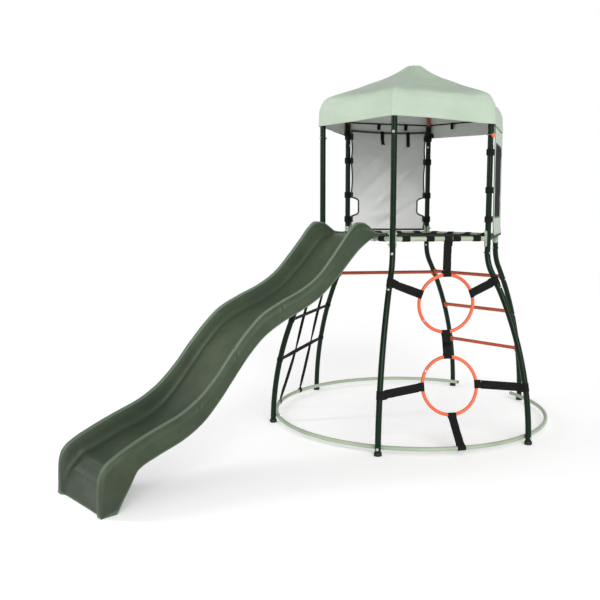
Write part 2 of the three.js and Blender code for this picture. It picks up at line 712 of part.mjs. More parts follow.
// The rear-left wall hangs in line with its posts and has a cut-out at each lower corner.
function rearLeftWall() {
  const edge = 281.7;
  const inside = 225;
  const half = [
    [276, 1219], [276, 1256], [edge, 1262], [edge, 1322], [inside + 14, 1330], [inside, 1348],
    [inside, 1430], [inside + 14, 1448], [edge, 1456], [edge, WALL_TOP_Z],
  ];
  const outline = [...half, ...half.slice().reverse().map(([y, z]) => [-y, z])];
  const shape = new THREE.Shape(outline.map(([y, z]) => new THREE.Vector2(y, z)));
  const panel = new THREE.ExtrudeGeometry(shape, { depth: WALL_T, bevelEnabled: false });
  panel.translate(0, 0, -WALL_T / 2);
  place(panel, vec(apothem(TOWER_R), 0, 0), vec(0, 1, 0), vec(0, 0, 1), vec(1, 0, 0));
  const sleeves = WALL_STRAP_Z.flatMap((z) => [-300, 300].map((y) => sleeve(y, z, apothem(TOWER_R), 44)));
  return join([panel, ...sleeves]);
}

// The rear-right wall lies over the outside of its posts and flares at the platform.
function rearRightWall() {
  const line = [[553, 1205], [546, 1290], [545, 1500], [543.5, 1700], [543, 1862], [538.6, 1876], [538.6, WALL_TOP_Z]];
  const skin = 0.9;
  const outline = [
    ...line.map(([x, z]) => new THREE.Vector2(x + skin, z)),
    ...line.slice().reverse().map(([x, z]) => new THREE.Vector2(x - skin, z)),
  ];
  const panel = new THREE.ExtrudeGeometry(new THREE.Shape(outline), { depth: 580, bevelEnabled: false });
  panel.translate(0, 0, -290);
  place(panel, vec(0, 0, 0), vec(1, 0, 0), vec(0, 0, 1), vec(0, -1, 0));
  const sleeves = [1315, 1489, 1711].flatMap((z) => [-300, 300].flatMap((y) => {
    const tab = new THREE.BoxGeometry(9, 8, 40);
    tab.translate(apothem(TOWER_R) + 22, y - Math.sign(y) * 8, z);
    return [sleeve(y, z, apothem(TOWER_R), 40), tab];
  }));
  return join([panel, ...sleeves]);
}

add('wall_rear_left', rearLeftWall(), WALL, sideFrame('rear_left'));
add('wall_rear_right', rearRightWall(), CANOPY, sideFrame('rear_right'));

// ---- Ties: two short bands that hang from the wall's top hem, inside the tower ----
for (const [i, lateral] of TIE_LATERAL.entries()) {
  const tie = new THREE.BoxGeometry(2.4, 25, 108);
  const mesh = add(`wall_tie_${i + 1}`, tie, WEBBING, sideFrame('rear_left'));
  mesh.position.set(apothem(TOWER_R) - WALL_T / 2 - 1.2 - GAP, lateral, WALL_TOP_Z - 54);
}

// ---- Ball toggle: an elastic loop round the right post with a ball on it ----
// The free end of the elastic hangs below the ball as a narrow loop.
function ballToggle() {
  const ball = new THREE.SphereGeometry(13, 10, 8);
  ball.translate(BALL.out, BALL.lateral, BALL.z);
  const drop = [[0, 0], [-5, -4], [-5, -18], [-6, -42], [0, -13 - BALL.tail], [6, -42], [5, -18], [5, -4]];
  const line = drop.map(([y, z]) => vec(BALL.out, BALL.lateral + y, BALL.z + z));
  const tail = new THREE.TubeGeometry(new THREE.CatmullRomCurve3(line, true), 20, 1.5, 6, true);
  const cord = new THREE.TorusGeometry(clearOf(LEG_TUBE.outer + GAP, 12) + 1.5, 1.5, 6, 12);
  cord.translate(apothem(TOWER_R), -300, BALL.z + 6);
  return join([ball, cord, tail]);
}

add('ball_toggle', ballToggle(), CORAL, sideFrame('rear_right'));

// ---- Origin: middle of the footprint, on the ground ----
tower.updateMatrixWorld(true);
const box = new THREE.Box3().setFromObject(tower, true);
tower.position.y = -(box.min.y + box.max.y) / 2;

export default tower;
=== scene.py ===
"""Looks of the dome climber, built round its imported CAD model. Metres, +Z up, the slide leaves toward -Y."""

import math

import bmesh
import bpy
import numpy as np
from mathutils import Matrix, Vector, noise


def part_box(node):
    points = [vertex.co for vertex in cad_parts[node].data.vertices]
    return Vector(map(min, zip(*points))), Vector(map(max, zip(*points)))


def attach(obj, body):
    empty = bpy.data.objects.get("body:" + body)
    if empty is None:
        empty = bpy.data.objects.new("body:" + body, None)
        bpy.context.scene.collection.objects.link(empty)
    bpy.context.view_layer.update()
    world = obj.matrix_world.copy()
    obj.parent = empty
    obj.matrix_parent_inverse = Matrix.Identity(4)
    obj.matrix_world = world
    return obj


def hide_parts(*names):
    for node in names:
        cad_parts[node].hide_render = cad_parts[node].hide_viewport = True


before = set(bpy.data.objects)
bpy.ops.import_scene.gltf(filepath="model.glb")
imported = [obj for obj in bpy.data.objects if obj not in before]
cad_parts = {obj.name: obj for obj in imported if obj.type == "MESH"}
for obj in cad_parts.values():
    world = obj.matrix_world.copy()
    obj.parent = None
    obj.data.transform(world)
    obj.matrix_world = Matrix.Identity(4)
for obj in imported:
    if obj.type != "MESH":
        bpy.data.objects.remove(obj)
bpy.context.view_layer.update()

# ---- Sizes, in metres, as in the CAD ----
TOWER_R, FOOT_R, LADDER_FOOT_Y = 0.600, 0.925, 0.875
LEG_TOP_Z, BEND_R, BEND_TOP_Z, POST_TOP_Z = 0.997, 0.230, 1.120, 1.950
LEG_R = 0.0175
ROOF_TUBE_R, ROOF_BEND_Z, ROOF_BEND_R, ROOF_PITCH = 0.011, 1.962, 0.080, 21.5
RING_R, RING_Z, RING_TUBE_R = 0.892, 0.040, 0.0125
RING_JOINTS = (105.6, 180, 240, 300, 360, 434.4)
DECK_Z, DECK_BAR_R, DECK_PLATE_H = 1.200, 0.014, 0.100
RUNG_R, RUNG_Z, RUNG_PLATE_H, SIDE_BAR_Z = 0.0125, (0.385, 0.658, 0.915), 0.046, 0.908
JOINT_BOLT_Z, HOOP_BOLT_Z, DECK_BOLT_DZ, RUNG_BOLT_DROP = (1.115, 1.815), 0.913, 0.033, 0.0192
BAR_TRIM = 0.0192
HOOP_R, HOOP_TUBE_R, STRAP_W = 0.168, 0.010, 0.050
NET_W, NET_CROSS_Z = 0.025, (0.410, 0.665)
WALL_TOP_Z = 1.925
POSTS = {"front_left": 240, "front_right": 300, "right": 0, "rear_right": 60, "rear_left": 120, "left": 180}
SIDES = {"front": 270, "front_right": 330, "rear_right": 30, "rear": 90, "rear_left": 150, "front_left": 210}
APOTHEM = TOWER_R * math.cos(math.radians(30))

hub_low, hub_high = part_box("roof_hub")
TOWER = np.array([(hub_low.x + hub_high.x) / 2, (hub_low.y + hub_high.y) / 2, 0.0])
UP = np.array([0.0, 0.0, 1.0])


# ---- Vectors ----
def unit(v):
    v = np.asarray(v, float)
    return v / np.maximum(np.linalg.norm(v, axis=-1, keepdims=True), 1e-12)


def polar(deg, r, z):
    a = math.radians(deg)
    return np.array([r * math.cos(a), r * math.sin(a), z])


def side_point(side, out, lateral, z):
    """A point on one side of the tower: out through the side, across it, and up."""
    angle = SIDES[side] if isinstance(side, str) else side
    return polar(angle, out, z) + polar(angle + 90, lateral, 0)


def side_axes(side):
    """The directions out through a side of the tower, and across it."""
    return polar(SIDES[side], 1, 0), polar(SIDES[side] + 90, 1, 0)


def distances(points):
    """The distance along a path at each of its points."""
    return np.concatenate([[0], np.cumsum(np.linalg.norm(np.diff(points, axis=0), axis=1))])


def smooth_step(t):
    t = np.clip(t, 0, 1)
    return t * t * (3 - 2 * t)


def through(keys, n):
    """A smooth curve with n points through the rows of keys, even in distance."""
    keys = np.asarray(keys, float)
    at = distances(keys)
    return smooth_table(at, keys, np.linspace(0, at[-1], n))


def smooth_table(at, values, where):
    """Values read from a table by cubic curves that don't overshoot between two rows."""
    at, values = np.asarray(at, float), np.asarray(values, float)
    if values.ndim == 1:
        return smooth_table(at, values[:, None], where)[:, 0]
    h = np.diff(at)
    d = np.diff(values, axis=0) / h[:, None]
    m = np.zeros_like(values)
    w1, w2 = 2 * h[1:] + h[:-1], h[1:] + 2 * h[:-1]
    same = d[:-1] * d[1:] > 0
    with np.errstate(divide="ignore", invalid="ignore"):
        mean = (w1 + w2)[:, None] / (w1[:, None] / d[:-1] + w2[:, None] / d[1:])
    m[1:-1] = np.where(same, mean, 0)
    m[0], m[-1] = d[0], d[-1]
    i = np.clip(np.searchsorted(at, where, side="right") - 1, 0, len(at) - 2)
    t = ((np.asarray(where) - at[i]) / h[i])[:, None]
    return (
        values[i] * (1 + 2 * t) * (1 - t) ** 2
        + m[i] * h[i][:, None] * t * (1 - t) ** 2
        + values[i + 1] * t * t * (3 - 2 * t)
        + m[i + 1] * h[i][:, None] * t * t * (t - 1)
    )


# ---- Parts: (points, faces, uv, material index) ----
def grid_faces(rows, cols, wrap_rows=False, wrap_cols=False, start=0):
    r = np.arange(rows if wrap_rows else rows - 1)[:, None]
    c = np.arange(cols if wrap_cols else cols - 1)[None, :]
    r1, c1 = (r + 1) % rows, (c + 1) % cols
    quads = np.stack([r * cols + c, r1 * cols + c, r1 * cols + c1, r * cols + c1], -1)
    return (quads.reshape(-1, 4) + start).tolist()


def sweep(points, section, ref, closed=False, caps=True, slot=0):
    """Carries a closed section along a path. ref is the direction of the section's first axis."""
    points = np.asarray(points, float)
    n = len(points)
    if closed:
        tangent = unit(np.roll(points, -1, 0) - np.roll(points, 1, 0))
    else:
        tangent = unit(np.gradient(points, axis=0))
    ref = np.broadcast_to(np.asarray(ref, float), points.shape)
    first = unit(ref - (ref * tangent).sum(1, keepdims=True) * tangent)
    second = np.cross(tangent, first)
    section = np.broadcast_to(section, (n, *np.shape(section)[-2:]))
    verts = points[:, None] + section[..., :1] * first[:, None] + section[..., 1:] * second[:, None]
    m = section.shape[1]
    faces = grid_faces(n, m, wrap_rows=closed, wrap_cols=True)
    if caps and not closed:
        faces += [list(range(m)), list(range((n - 1) * m, n * m))]
    along = distances(points)
    uv = np.stack([np.broadcast_to(along[:, None], (n, m)), section[..., 0]], -1).reshape(-1, 2)
    return verts.reshape(-1, 3), faces, uv, slot


def circle(radius, sides=24):
    a = np.arange(sides) * 2 * math.pi / sides
    return np.stack([np.cos(a), np.sin(a)], -1) * radius


def tube(points, radius, ref=(0.31, 0.17, 0.94), sides=24, round_ends=0.0008, slot=0):
    """A round tube with eased ends. radius is one number, or one for each point."""
    points = np.asarray(points, float)
    radii = np.broadcast_to(radius, (len(points),)).astype(float)
    if round_ends:
        first, last = unit(points[1] - points[0]), unit(points[-2] - points[-1])
        points = np.concatenate([points[:1], points[:1] + first * round_ends, points[1:-1],
                                 points[-1:] + last * round_ends, points[-1:]])
        radii = np.concatenate([[radii[0] - round_ends, radii[0]], radii[1:-1],
                                [radii[-1], radii[-1] - round_ends]])
    return sweep(points, circle(1, sides)[None] * radii[:, None, None], ref, slot=slot)


def flat_section(width, thick):
    """The section of webbing: its width along the first axis, with rounded edges."""
    w, t = width / 2, thick / 2
    side = [(w, 0), (w - 0.3 * t, 0.7 * t), (w - t, t)]
    top = side + [(x * (w - t), t) for x in (0.5, 0, -0.5)] + [(-x, y) for x, y in side[::-1]]
    return np.array(top + [(x, -y) for x, y in top[-2:0:-1]])


def shell(outer, inner, wrap_rows=False, wrap_cols=False, slots=(0, 0), uv=None):
    """A closed skin between two grids of points, outside and inside."""
    rows, cols = outer.shape[:2]
    half = rows * cols
    one = grid_faces(rows, cols, wrap_rows, wrap_cols)
    two = [f[::-1] for f in grid_faces(rows, cols, wrap_rows, wrap_cols, half)]
    rim = []
    index = np.arange(half).reshape(rows, cols)
    edges = []
    if not wrap_rows:
        edges += [(index[0], wrap_cols), (index[-1], wrap_cols)]
    if not wrap_cols:
        edges += [(index[:, 0], wrap_rows), (index[:, -1], wrap_rows)]
    for line, wrapped in edges:
        ends = np.append(line, line[0]) if wrapped else line
        rim += [[int(a), int(b), int(b) + half, int(a) + half] for a, b in zip(ends[:-1], ends[1:])]
    verts = np.concatenate([outer.reshape(-1, 3), inner.reshape(-1, 3)])
    if uv is None:
        uv = np.zeros((rows, cols, 2))
    uv = np.concatenate([uv.reshape(-1, 2)] * 2)
    return verts, one + two + rim, uv, [slots[0]] * len(one) + [slots[1]] * len(two) + [slots[0]] * len(rim)


def grid_normals(grid, wrap_cols=False):
    padded = np.concatenate([grid[:, -1:], grid, grid[:, :1]], 1) if wrap_cols else grid
    across = np.gradient(padded, axis=1)
    across = across[:, 1:-1] if wrap_cols else across
    return unit(np.cross(np.gradient(grid, axis=0), across))


def turned(profile, origin=(0, 0, 0), axis=(0, 0, 1), sides=24, slot=0):
    """A body of revolution from (radius, height) pairs, about an axis through origin."""
    axis = unit(axis)
    ref = unit(np.cross(axis, (0.12, 0.93, 0.34)))
    other = np.cross(axis, ref)
    ring = circle(1, sides)
    profile = np.asarray(profile, float)
    spokes = ring[:, :1] * ref + ring[:, 1:] * other
    verts = np.asarray(origin) + profile[:, None, :1] * spokes[None] + profile[:, None, 1:] * axis
    faces = grid_faces(len(profile), sides, wrap_cols=True)
    faces += [list(range(sides)), list(range((len(profile) - 1) * sides, len(profile) * sides))]
    return verts.reshape(-1, 3), faces, None, slot


def sleeve(profile, origin, axis, ref, sides):
    """A band of revolution whose (radius, height) pairs go once round its wall."""
    profile = np.asarray(profile, float)
    ring = circle(1, sides)
    spokes = ring[:, :1] * ref + ring[:, 1:] * np.cross(axis, ref)
    rings = origin + profile[:, None, :1] * spokes[None] + profile[:, None, 1:] * axis
    return rings.reshape(-1, 3), grid_faces(len(profile), sides, True, True), None, 0


def bolt(centre, axis, reach, radius=0.0065, nut_reach=None, slot=0):
    """A dome-headed bolt through a joint: reach is from the centre to the head's seat, and to the nut's."""
    axis = unit(axis)
    nut_reach = reach if nut_reach is None else nut_reach
    r = radius
    head = [(0.0, 0), (r * 1.3, 0), (r * 1.3, 0.0011), (r, 0.0012), (r * 0.96, 0.0024), (r * 0.74, 0.0041),
            (r * 0.5, 0.0046), (r * 0.46, 0.0030), (0.0, 0.0030)]
    nut = [(0.0, 0), (r * 1.3, 0), (r * 1.3, 0.0011), (r * 0.95, 0.0012), (r * 0.95, 0.0056), (r * 0.8, 0.0063),
           (r * 0.5, 0.0063), (r * 0.5, 0.0086), (r * 0.42, 0.0092), (0.0, 0.0092)]
    return [
        turned(head, centre + axis * reach, axis, 18, slot),
        turned(nut, centre - axis * nut_reach, -axis, 6, slot),
    ]


def stitches(points, normal, step=0.0042, size=(0.0028, 0.0009, 0.0006), slot=0):
    """A row of short raised stitches along a path on a surface."""
    points = np.asarray(points, float)
    along = distances(points)
    count = max(1, int(along[-1] / step))
    at = (np.arange(count) + 0.5) * along[-1] / count
    centre = np.stack([np.interp(at, along, points[:, k]) for k in range(3)], -1)
    ahead = np.stack([np.interp(at + 1e-4, along, points[:, k]) for k in range(3)], -1)
    behind = np.stack([np.interp(at - 1e-4, along, points[:, k]) for k in range(3)], -1)
    forward = unit(ahead - behind)
    normal = unit(np.broadcast_to(normal, centre.shape))
    beside = np.cross(forward, normal)
    l, w, h = (x / 2 for x in size)
    corners = [(-l, 0, -h), (-l * 0.5, -w, -h), (l * 0.5, -w, -h), (l, 0, -h), (l * 0.5, w, -h),
               (-l * 0.5, w, -h), (-l * 0.5, 0, 2 * h), (l * 0.5, 0, 2 * h)]
    verts = [centre + forward * a + beside * b + normal * c for a, b, c in corners]
    verts = np.stack(verts, 1).reshape(-1, 3)
    shape = [(0, 1, 6), (1, 2, 7, 6), (2, 3, 7), (3, 4, 7), (4, 5, 6, 7), (5, 0, 6), (5, 4, 3, 2, 1, 0)]
    faces = [[8 * i + k for k in f] for i in range(count) for f in shape]
    return verts, faces, None, slot


def box_stitch(centre, along, across, normal, length, width, slot=0):
    """A sewn box with a cross in it."""
    a, b = unit(along) * length / 2, unit(across) * width / 2
    c = [centre - a - b, centre + a - b, centre + a + b, centre - a + b]
    rows = [(c[0], c[1]), (c[1], c[2]), (c[2], c[3]), (c[3], c[0]), (c[0], c[2]), (c[1], c[3])]
    return [stitches(row, normal, slot=slot) for row in rows]


def piece(name, parts, materials, replaces=(), body="frame", sharp=35, merge=False):
    """Joins parts into one mesh object that rides on a body."""
    materials = materials if isinstance(materials, (list, tuple)) else [materials]
    verts, faces, uvs, slots, start = [], [], [], [], 0
    for points, polygons, uv, index in parts:
        verts.append(points)
        uvs.append(np.zeros((len(points), 2)) if uv is None else uv)
        faces += [[k + start for k in f] for f in polygons]
        slots += index if isinstance(index, list) else [index] * len(polygons)
        start += len(points)
    mesh = bpy.data.meshes.new(name)
    mesh.from_pydata((np.concatenate(verts) + TOWER).tolist(), [], faces)
    mesh.polygons.foreach_set("material_index", slots)
    layer = mesh.uv_layers.new(name="UVMap")
    corner = np.zeros(len(mesh.loops), np.int32)
    mesh.loops.foreach_get("vertex_index", corner)
    layer.data.foreach_set("uv", np.concatenate(uvs)[corner].astype(np.float32).ravel())
    bm = bmesh.new()
    bm.from_mesh(mesh)
    if merge:
        bmesh.ops.remove_doubles(bm, verts=bm.verts, dist=1e-6)
    bmesh.ops.dissolve_degenerate(bm, dist=1e-7, edges=bm.edges)
    bmesh.ops.recalc_face_normals(bm, faces=bm.faces)
    bm.to_mesh(mesh)
    bm.free()
    mesh.polygons.foreach_set("use_smooth", [True] * len(mesh.polygons))
    mesh.set_sharp_from_angle(angle=math.radians(sharp))
    for material in materials:
        mesh.materials.append(material)
    ob = bpy.data.objects.new(name, mesh)
    bpy.context.scene.collection.objects.link(ob)
    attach(ob, body)
    if replaces:
        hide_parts(*replaces)
    return ob


# ---- Materials ----
class Shader:
    """A node material. Colours that vary go in through links, and single numbers sit on the sockets."""

    def __init__(self, name, roughness, **sockets):
        self.material = bpy.data.materials.new(name)
        self.material.use_nodes = True
        self.tree = self.material.node_tree
        self.bsdf = self.tree.nodes["Principled BSDF"]
        self.bsdf.inputs["Roughness"].default_value = roughness
        for key, value in sockets.items():
            self.bsdf.inputs[key.replace("_", " ")].default_value = value
        self.heights = []

    def node(self, kind, inputs, **props):
        made = self.tree.nodes.new(kind)
        for key, value in props.items():
            setattr(made, key, value)
        for key, value in inputs.items():
            if isinstance(value, bpy.types.NodeSocket):
                self.tree.links.new(value, made.inputs[key])
            else:
                made.inputs[key].default_value = value
        return made

    def coords(self, kind="Object", scale=(1, 1, 1)):
        source = self.node("ShaderNodeTexCoord", {}).outputs[kind]
        return self.node("ShaderNodeMapping", {"Vector": source, "Scale": scale}).outputs["Vector"]

    def noise(self, scale, detail=3.0, vector=None, roughness=0.5):
        vector = vector or self.coords()
        return self.node("ShaderNodeTexNoise", {"Vector": vector, "Scale": scale, "Detail": detail,
                                                "Roughness": roughness}).outputs["Fac"]

    def wave(self, period, axis, vector, distortion=0.0):
        inputs = {"Vector": vector, "Scale": 0.3142 / period, "Distortion": distortion, "Detail": 1.0}
        return self.node("ShaderNodeTexWave", inputs, bands_direction=axis).outputs["Fac"]

    def ramp(self, value, low, high, to_low=0.0, to_high=1.0):
        return self.node("ShaderNodeMapRange", {"Value": value, "From Min": low, "From Max": high,
                                                "To Min": to_low, "To Max": to_high}).outputs["Result"]

    def math(self, operation, a, b):
        return self.node("ShaderNodeMath", {0: a, 1: b}, operation=operation).outputs[0]

    def mix(self, a, b, factor):
        made = self.node("ShaderNodeMix", {"Factor": factor}, data_type="RGBA")
        for socket, value in ((made.inputs[6], a), (made.inputs[7], b)):
            if isinstance(value, bpy.types.NodeSocket):
                self.tree.links.new(value, socket)
            else:
                socket.default_value = (*value, 1.0)
        return made.outputs[2]

    def color(self, socket):
        self.tree.links.new(socket, self.bsdf.inputs["Base Color"])

    def roughness(self, socket):
        self.tree.links.new(socket, self.bsdf.inputs["Roughness"])

    def bump(self, height, distance, strength=1.0):
        inputs = {"Height": height, "Distance": distance, "Strength": strength}
        if self.heights:
            inputs["Normal"] = self.heights[-1]
        self.heights.append(self.node("ShaderNodeBump", inputs).outputs["Normal"])
        for link in list(self.bsdf.inputs["Normal"].links):
            self.tree.links.remove(link)
        self.tree.links.new(self.heights[-1], self.bsdf.inputs["Normal"])


def tint(color, share):
    return tuple(min(1.0, c * share) for c in color)


def paint(name, color, roughness=0.3, specular=0.35):
    """Powder coat: faint orange peel, slow colour drift, a few matt scuffs."""
    s = Shader(name, roughness, Specular_IOR_Level=specular, Coat_Weight=0.06, Coat_Roughness=0.1)
    drift = s.mix(tint(color, 0.86), tint(color, 1.08), s.ramp(s.noise(5.0), 0.3, 0.7))
    scuff = s.ramp(s.noise(42.0, 8.0, roughness=0.7), 0.70, 0.80)
    s.color(s.mix(drift, tuple(0.75 * c + 0.1 for c in color), s.math("MULTIPLY", scuff, 0.5)))
    s.roughness(s.math("ADD", s.ramp(s.noise(30.0), 0.3, 0.7, roughness - 0.05, roughness + 0.08),
                       s.math("MULTIPLY", scuff, 0.25)))
    s.bump(s.noise(420.0, 2.0), 0.0002, 0.35)
    return s.material


def webbing(name, color, width_period=0.0016):
    """Woven tape: ribs across, warp lines along, read from the tape's own length and width."""
    s = Shader(name, 0.85, Sheen_Weight=0.02, Sheen_Roughness=0.5, Specular_IOR_Level=0.12)
    uv = s.coords("UV")
    weave = s.math("MULTIPLY", s.wave(0.0026, "X", uv), s.wave(width_period * 2, "Y", uv))
    s.color(s.mix(tint(color, 0.6), tint(color, 1.5), s.math("ADD", s.math("MULTIPLY", weave, 0.6),
                                                               s.ramp(s.noise(60.0), 0.2, 0.8, 0.0, 0.4))))
    s.roughness(s.ramp(s.noise(90.0), 0.3, 0.7, 0.7, 0.9))
    s.bump(weave, 0.0005, 0.7)
    return s.material


def cloth(name, color, shade=0.9, thread=0.0011, soft=0.0, painted_shade=None):
    """Coated woven polyester: plain weave, soft creases, slow fading.

    painted_shade darkens it upward as painted shade: the heights where that starts and ends, its patchiness and its
    amount.
    """
    s = Shader(name, 0.72, Sheen_Weight=0.05, Sheen_Roughness=0.4, Specular_IOR_Level=0.2,
               Subsurface_Weight=soft, Subsurface_Scale=0.004, Subsurface_Radius=(1, 1, 1))
    uv = s.coords("UV")
    weave = s.math("ADD", s.wave(thread, "X", uv), s.wave(thread, "Y", uv))
    drift = s.mix(tint(color, shade), tint(color, 1.04), s.ramp(s.noise(4.0, 5.0), 0.34, 0.66))
    woven = s.mix(drift, tint(color, 0.93), s.ramp(weave, 0.0, 2.0, 0.5, 0.0))
    # Painted shade: the colour darkens with height, standing in for shade falling from above.
    if painted_shade:
        low, high, patch, amount = painted_shade
        height = s.node("ShaderNodeSeparateXYZ", {"Vector": s.coords()}).outputs["Z"]
        patchy = s.math("ADD", height, s.math("MULTIPLY", s.noise(3.0, 4.0), patch))
        woven = s.mix(woven, tint(color, 0.45), s.ramp(patchy, low, high, 0.0, amount))
    s.color(woven)
    s.roughness(s.ramp(s.noise(14.0, 5.0), 0.3, 0.7, 0.62, 0.82))
    s.bump(s.noise(9.0, 6.0, roughness=0.6), 0.008, 0.5)
    s.bump(weave, 0.0002, 0.45)
    return s.material


def moulded(name, color, warm, roughness=0.4):
    """Moulded polyethylene: fine grain, cloudy, with a painted highlight on its edges and painted shade in its
    hollows and low down.
    """
    s = Shader(name, roughness, Specular_IOR_Level=0.27)
    cloud = s.ramp(s.noise(3.1, 6.0, s.coords(scale=(1, 0.55, 1)), 0.6), 0.36, 0.66)
    blotch = s.ramp(s.noise(9.0, 6.0, roughness=0.65), 0.42, 0.72)
    speck = s.ramp(s.noise(46.0, 6.0, roughness=0.65), 0.58, 0.8)
    bend = s.node("ShaderNodeNewGeometry", {}).outputs["Pointiness"]
    base = s.mix(s.mix(tint(color, 0.70), warm, cloud), tint(color, 0.60), s.math("MULTIPLY", blotch, 0.7))
    base = s.mix(base, tint(color, 1.7), s.math("MULTIPLY", speck, 0.22))
    # Painted shade in the creases and a painted highlight on the convex edges, both read from pointiness.
    base = s.mix(base, tint(color, 0.6), s.ramp(bend, 0.496, 0.480))
    base = s.mix(base, tuple(1.8 * c + 0.030 for c in color), s.ramp(bend, 0.505, 0.524))
    # Painted shade: the plastic turns darker toward the ground, standing in for the shade on the slide's lower run.
    height = s.node("ShaderNodeSeparateXYZ", {"Vector": s.coords()}).outputs["Z"]
    painted_low_shade = s.math("ADD", height, s.math("MULTIPLY", s.noise(4.0, 4.0), 0.3))
    s.color(s.mix(base, tint(color, 0.25), s.ramp(painted_low_shade, 0.3, 0.85, 0.42, 0.0)))
    s.roughness(s.math("ADD", s.ramp(s.noise(7.0, 5.0), 0.3, 0.7, roughness - 0.08, roughness + 0.1),
                       s.math("MULTIPLY", speck, 0.12)))
    s.bump(s.noise(16.0, 3.0), 0.003, 0.3)
    s.bump(s.noise(900.0, 2.0), 0.0003, 0.35)
    return s.material


def plain_plastic(name, color, roughness):
    s = Shader(name, roughness, Specular_IOR_Level=0.45)
    s.color(s.mix(tint(color, 0.85), tint(color, 1.2), s.noise(22.0, 4.0)))
    s.roughness(s.ramp(s.noise(55.0, 4.0), 0.3, 0.7, roughness - 0.05, roughness + 0.1))
    s.bump(s.noise(700.0, 2.0), 0.0002, 0.4)
    return s.material


def plated(name, color):
    s = Shader(name, 0.3, Metallic=1.0)
    s.color(s.mix(tint(color, 0.8), color, s.noise(120.0, 5.0)))
    s.roughness(s.ramp(s.noise(200.0, 4.0), 0.3, 0.7, 0.22, 0.42))
    s.bump(s.noise(260.0, 3.0), 0.0002, 0.3)
    return s.material


GREEN = paint("green_coat", (0.0035, 0.0165, 0.0055), 0.25, 0.14)
MINT = paint("mint_coat", (0.355, 0.435, 0.315), 0.36)
ORANGE = paint("orange_coat", (0.46, 0.070, 0.026), 0.3)
CORAL = paint("coral_coat", (0.78, 0.135, 0.050), 0.3)
WEB = webbing("black_webbing", (0.0095, 0.0095, 0.0100))
MESH = webbing("black_mesh", (0.005, 0.005, 0.0055), 0.0014)
# The mint cloth is darkened on the roof above the skirt: painted shade, since the roof takes less light than the
# skirt.
ROOF_OUT = cloth("mint_cloth", (0.472, 0.568, 0.460), 0.88, soft=0.15, painted_shade=(2.055, 2.11, 0.05, 0.42))
ROOF_IN = cloth("grey_coating", (0.68, 0.72, 0.68), 0.95)
# The grey wall is darkened toward its top: painted shadow of the canopy.
WALL_CLOTH = cloth("grey_cloth", (0.93, 0.95, 0.92), 0.96, soft=0.6,
                   painted_shade=(1.55, 2.0, 0.5, 0.7))
BINDING = webbing("grey_binding", (0.085, 0.095, 0.088))
THREAD = plain_plastic("thread_black", (0.022, 0.022, 0.023), 0.6)
PALE_THREAD = plain_plastic("thread_mint", (0.42, 0.52, 0.41), 0.6)
PLASTIC = moulded("slide_plastic", (0.057, 0.087, 0.055), (0.066, 0.088, 0.047))
BLACK = plain_plastic("black_plastic", (0.006, 0.006, 0.0065), 0.5)
BALL_PLASTIC = plain_plastic("coral_plastic", (0.80, 0.16, 0.06), 0.25)
ELASTIC = webbing("pale_elastic", (0.42, 0.42, 0.40), 0.0008)
ZINC = plated("zinc", (0.66, 0.67, 0.69))


# ---- Legs and posts ----
def leg_plane(name):
    ladder = name in ("rear_left", "rear_right")
    if ladder:
        out, base = np.array([0.0, 1.0, 0.0]), np.array([TOWER_R * math.cos(math.radians(POSTS[name])), 0, 0])
        foot, top = LADDER_FOOT_Y, TOWER_R * math.sin(math.radians(60))
    else:
        out, base, foot, top = polar(POSTS[name], 1, 0), np.zeros(3), FOOT_R, TOWER_R
    turn = 2 * math.atan2(foot - top, BEND_TOP_Z)
    return out, base, foot, top, turn, BEND_TOP_Z / math.sin(turn) - BEND_R


def leg_at(name, z):
    """Centre and upward direction of a leg or post at a height."""
    out, base, foot, top, turn, arc = leg_plane(name)
    reach, lean = top, 0.0
    if z < arc * math.sin(turn):
        lean = math.asin(z / arc)
        reach = foot - arc * (1 - math.cos(lean))
    elif z < BEND_TOP_Z:
        lean = math.asin((BEND_TOP_Z - z) / BEND_R)
        reach = top + BEND_R * (1 - math.cos(lean))
    return base + out * reach + UP * z, UP * math.cos(lean) - out * math.sin(lean)


def leg_line(name, heights):
    return np.array([leg_at(name, z)[0] for z in heights])


def sideways(name):
    return np.cross(UP, polar(POSTS[name], 1, 0))


def leg_and_post(name):
    across = np.cross(UP, leg_plane(name)[0])
    leg = tube(leg_line(name, np.linspace(0.0064, LEG_TOP_Z - 0.0004, 56)), LEG_R, across, 32, 0.0012)
    piece(f"leg_tube_{name}", [leg], GREEN, [f"leg_{name}"])
    heights = np.concatenate([np.linspace(LEG_TOP_Z + 0.0004, BEND_TOP_Z, 18), np.linspace(1.16, POST_TOP_Z, 12)])
    post = tube(leg_line(name, heights), LEG_R, across, 32, 0.0012)
    piece(f"post_tube_{name}", [post], GREEN, [f"post_{name}"])


def foot_cup(name):
    """A ribbed cup under the leg, hollow above."""
    cap = [(0, 0), (0.0200, 0), (0.0224, 0.0012), (0.0230, 0.0035), (0.0230, 0.0060), (0.0224, 0.0068),
           (0.0224, 0.0078), (0.0230, 0.0086), (0.0230, 0.0112), (0.0224, 0.0120), (0.0224, 0.0130),
           (0.0229, 0.0138), (0.0226, 0.0170), (0.0214, 0.0192), (0.0196, 0.0200), (0.0182, 0.0196),
           (0.0181, 0.0062), (0, 0.0062)]
    cup = turned(cap, leg_at(name, 0)[0], sides=36)
    piece(f"foot_cup_{name}", [cup], BLACK, [f"foot_cap_{name}"])


def post_bush(name):
    """The plastic bush that closes the post round the thinner roof tube."""
    bush = [(0.01125, 1.9440), (0.0148, 1.9440), (0.0150, 1.9500), (0.0186, 1.9502), (0.0190, 1.9520),
            (0.0186, 1.9570), (0.0160, 1.9625), (0.0128, 1.9660), (0.0114, 1.9662)]
    ring = sleeve(bush, polar(POSTS[name], TOWER_R, 0), UP, np.array([1.0, 0.0, 0.0]), 28)
    piece(f"post_bush_{name}", [ring], BLACK)


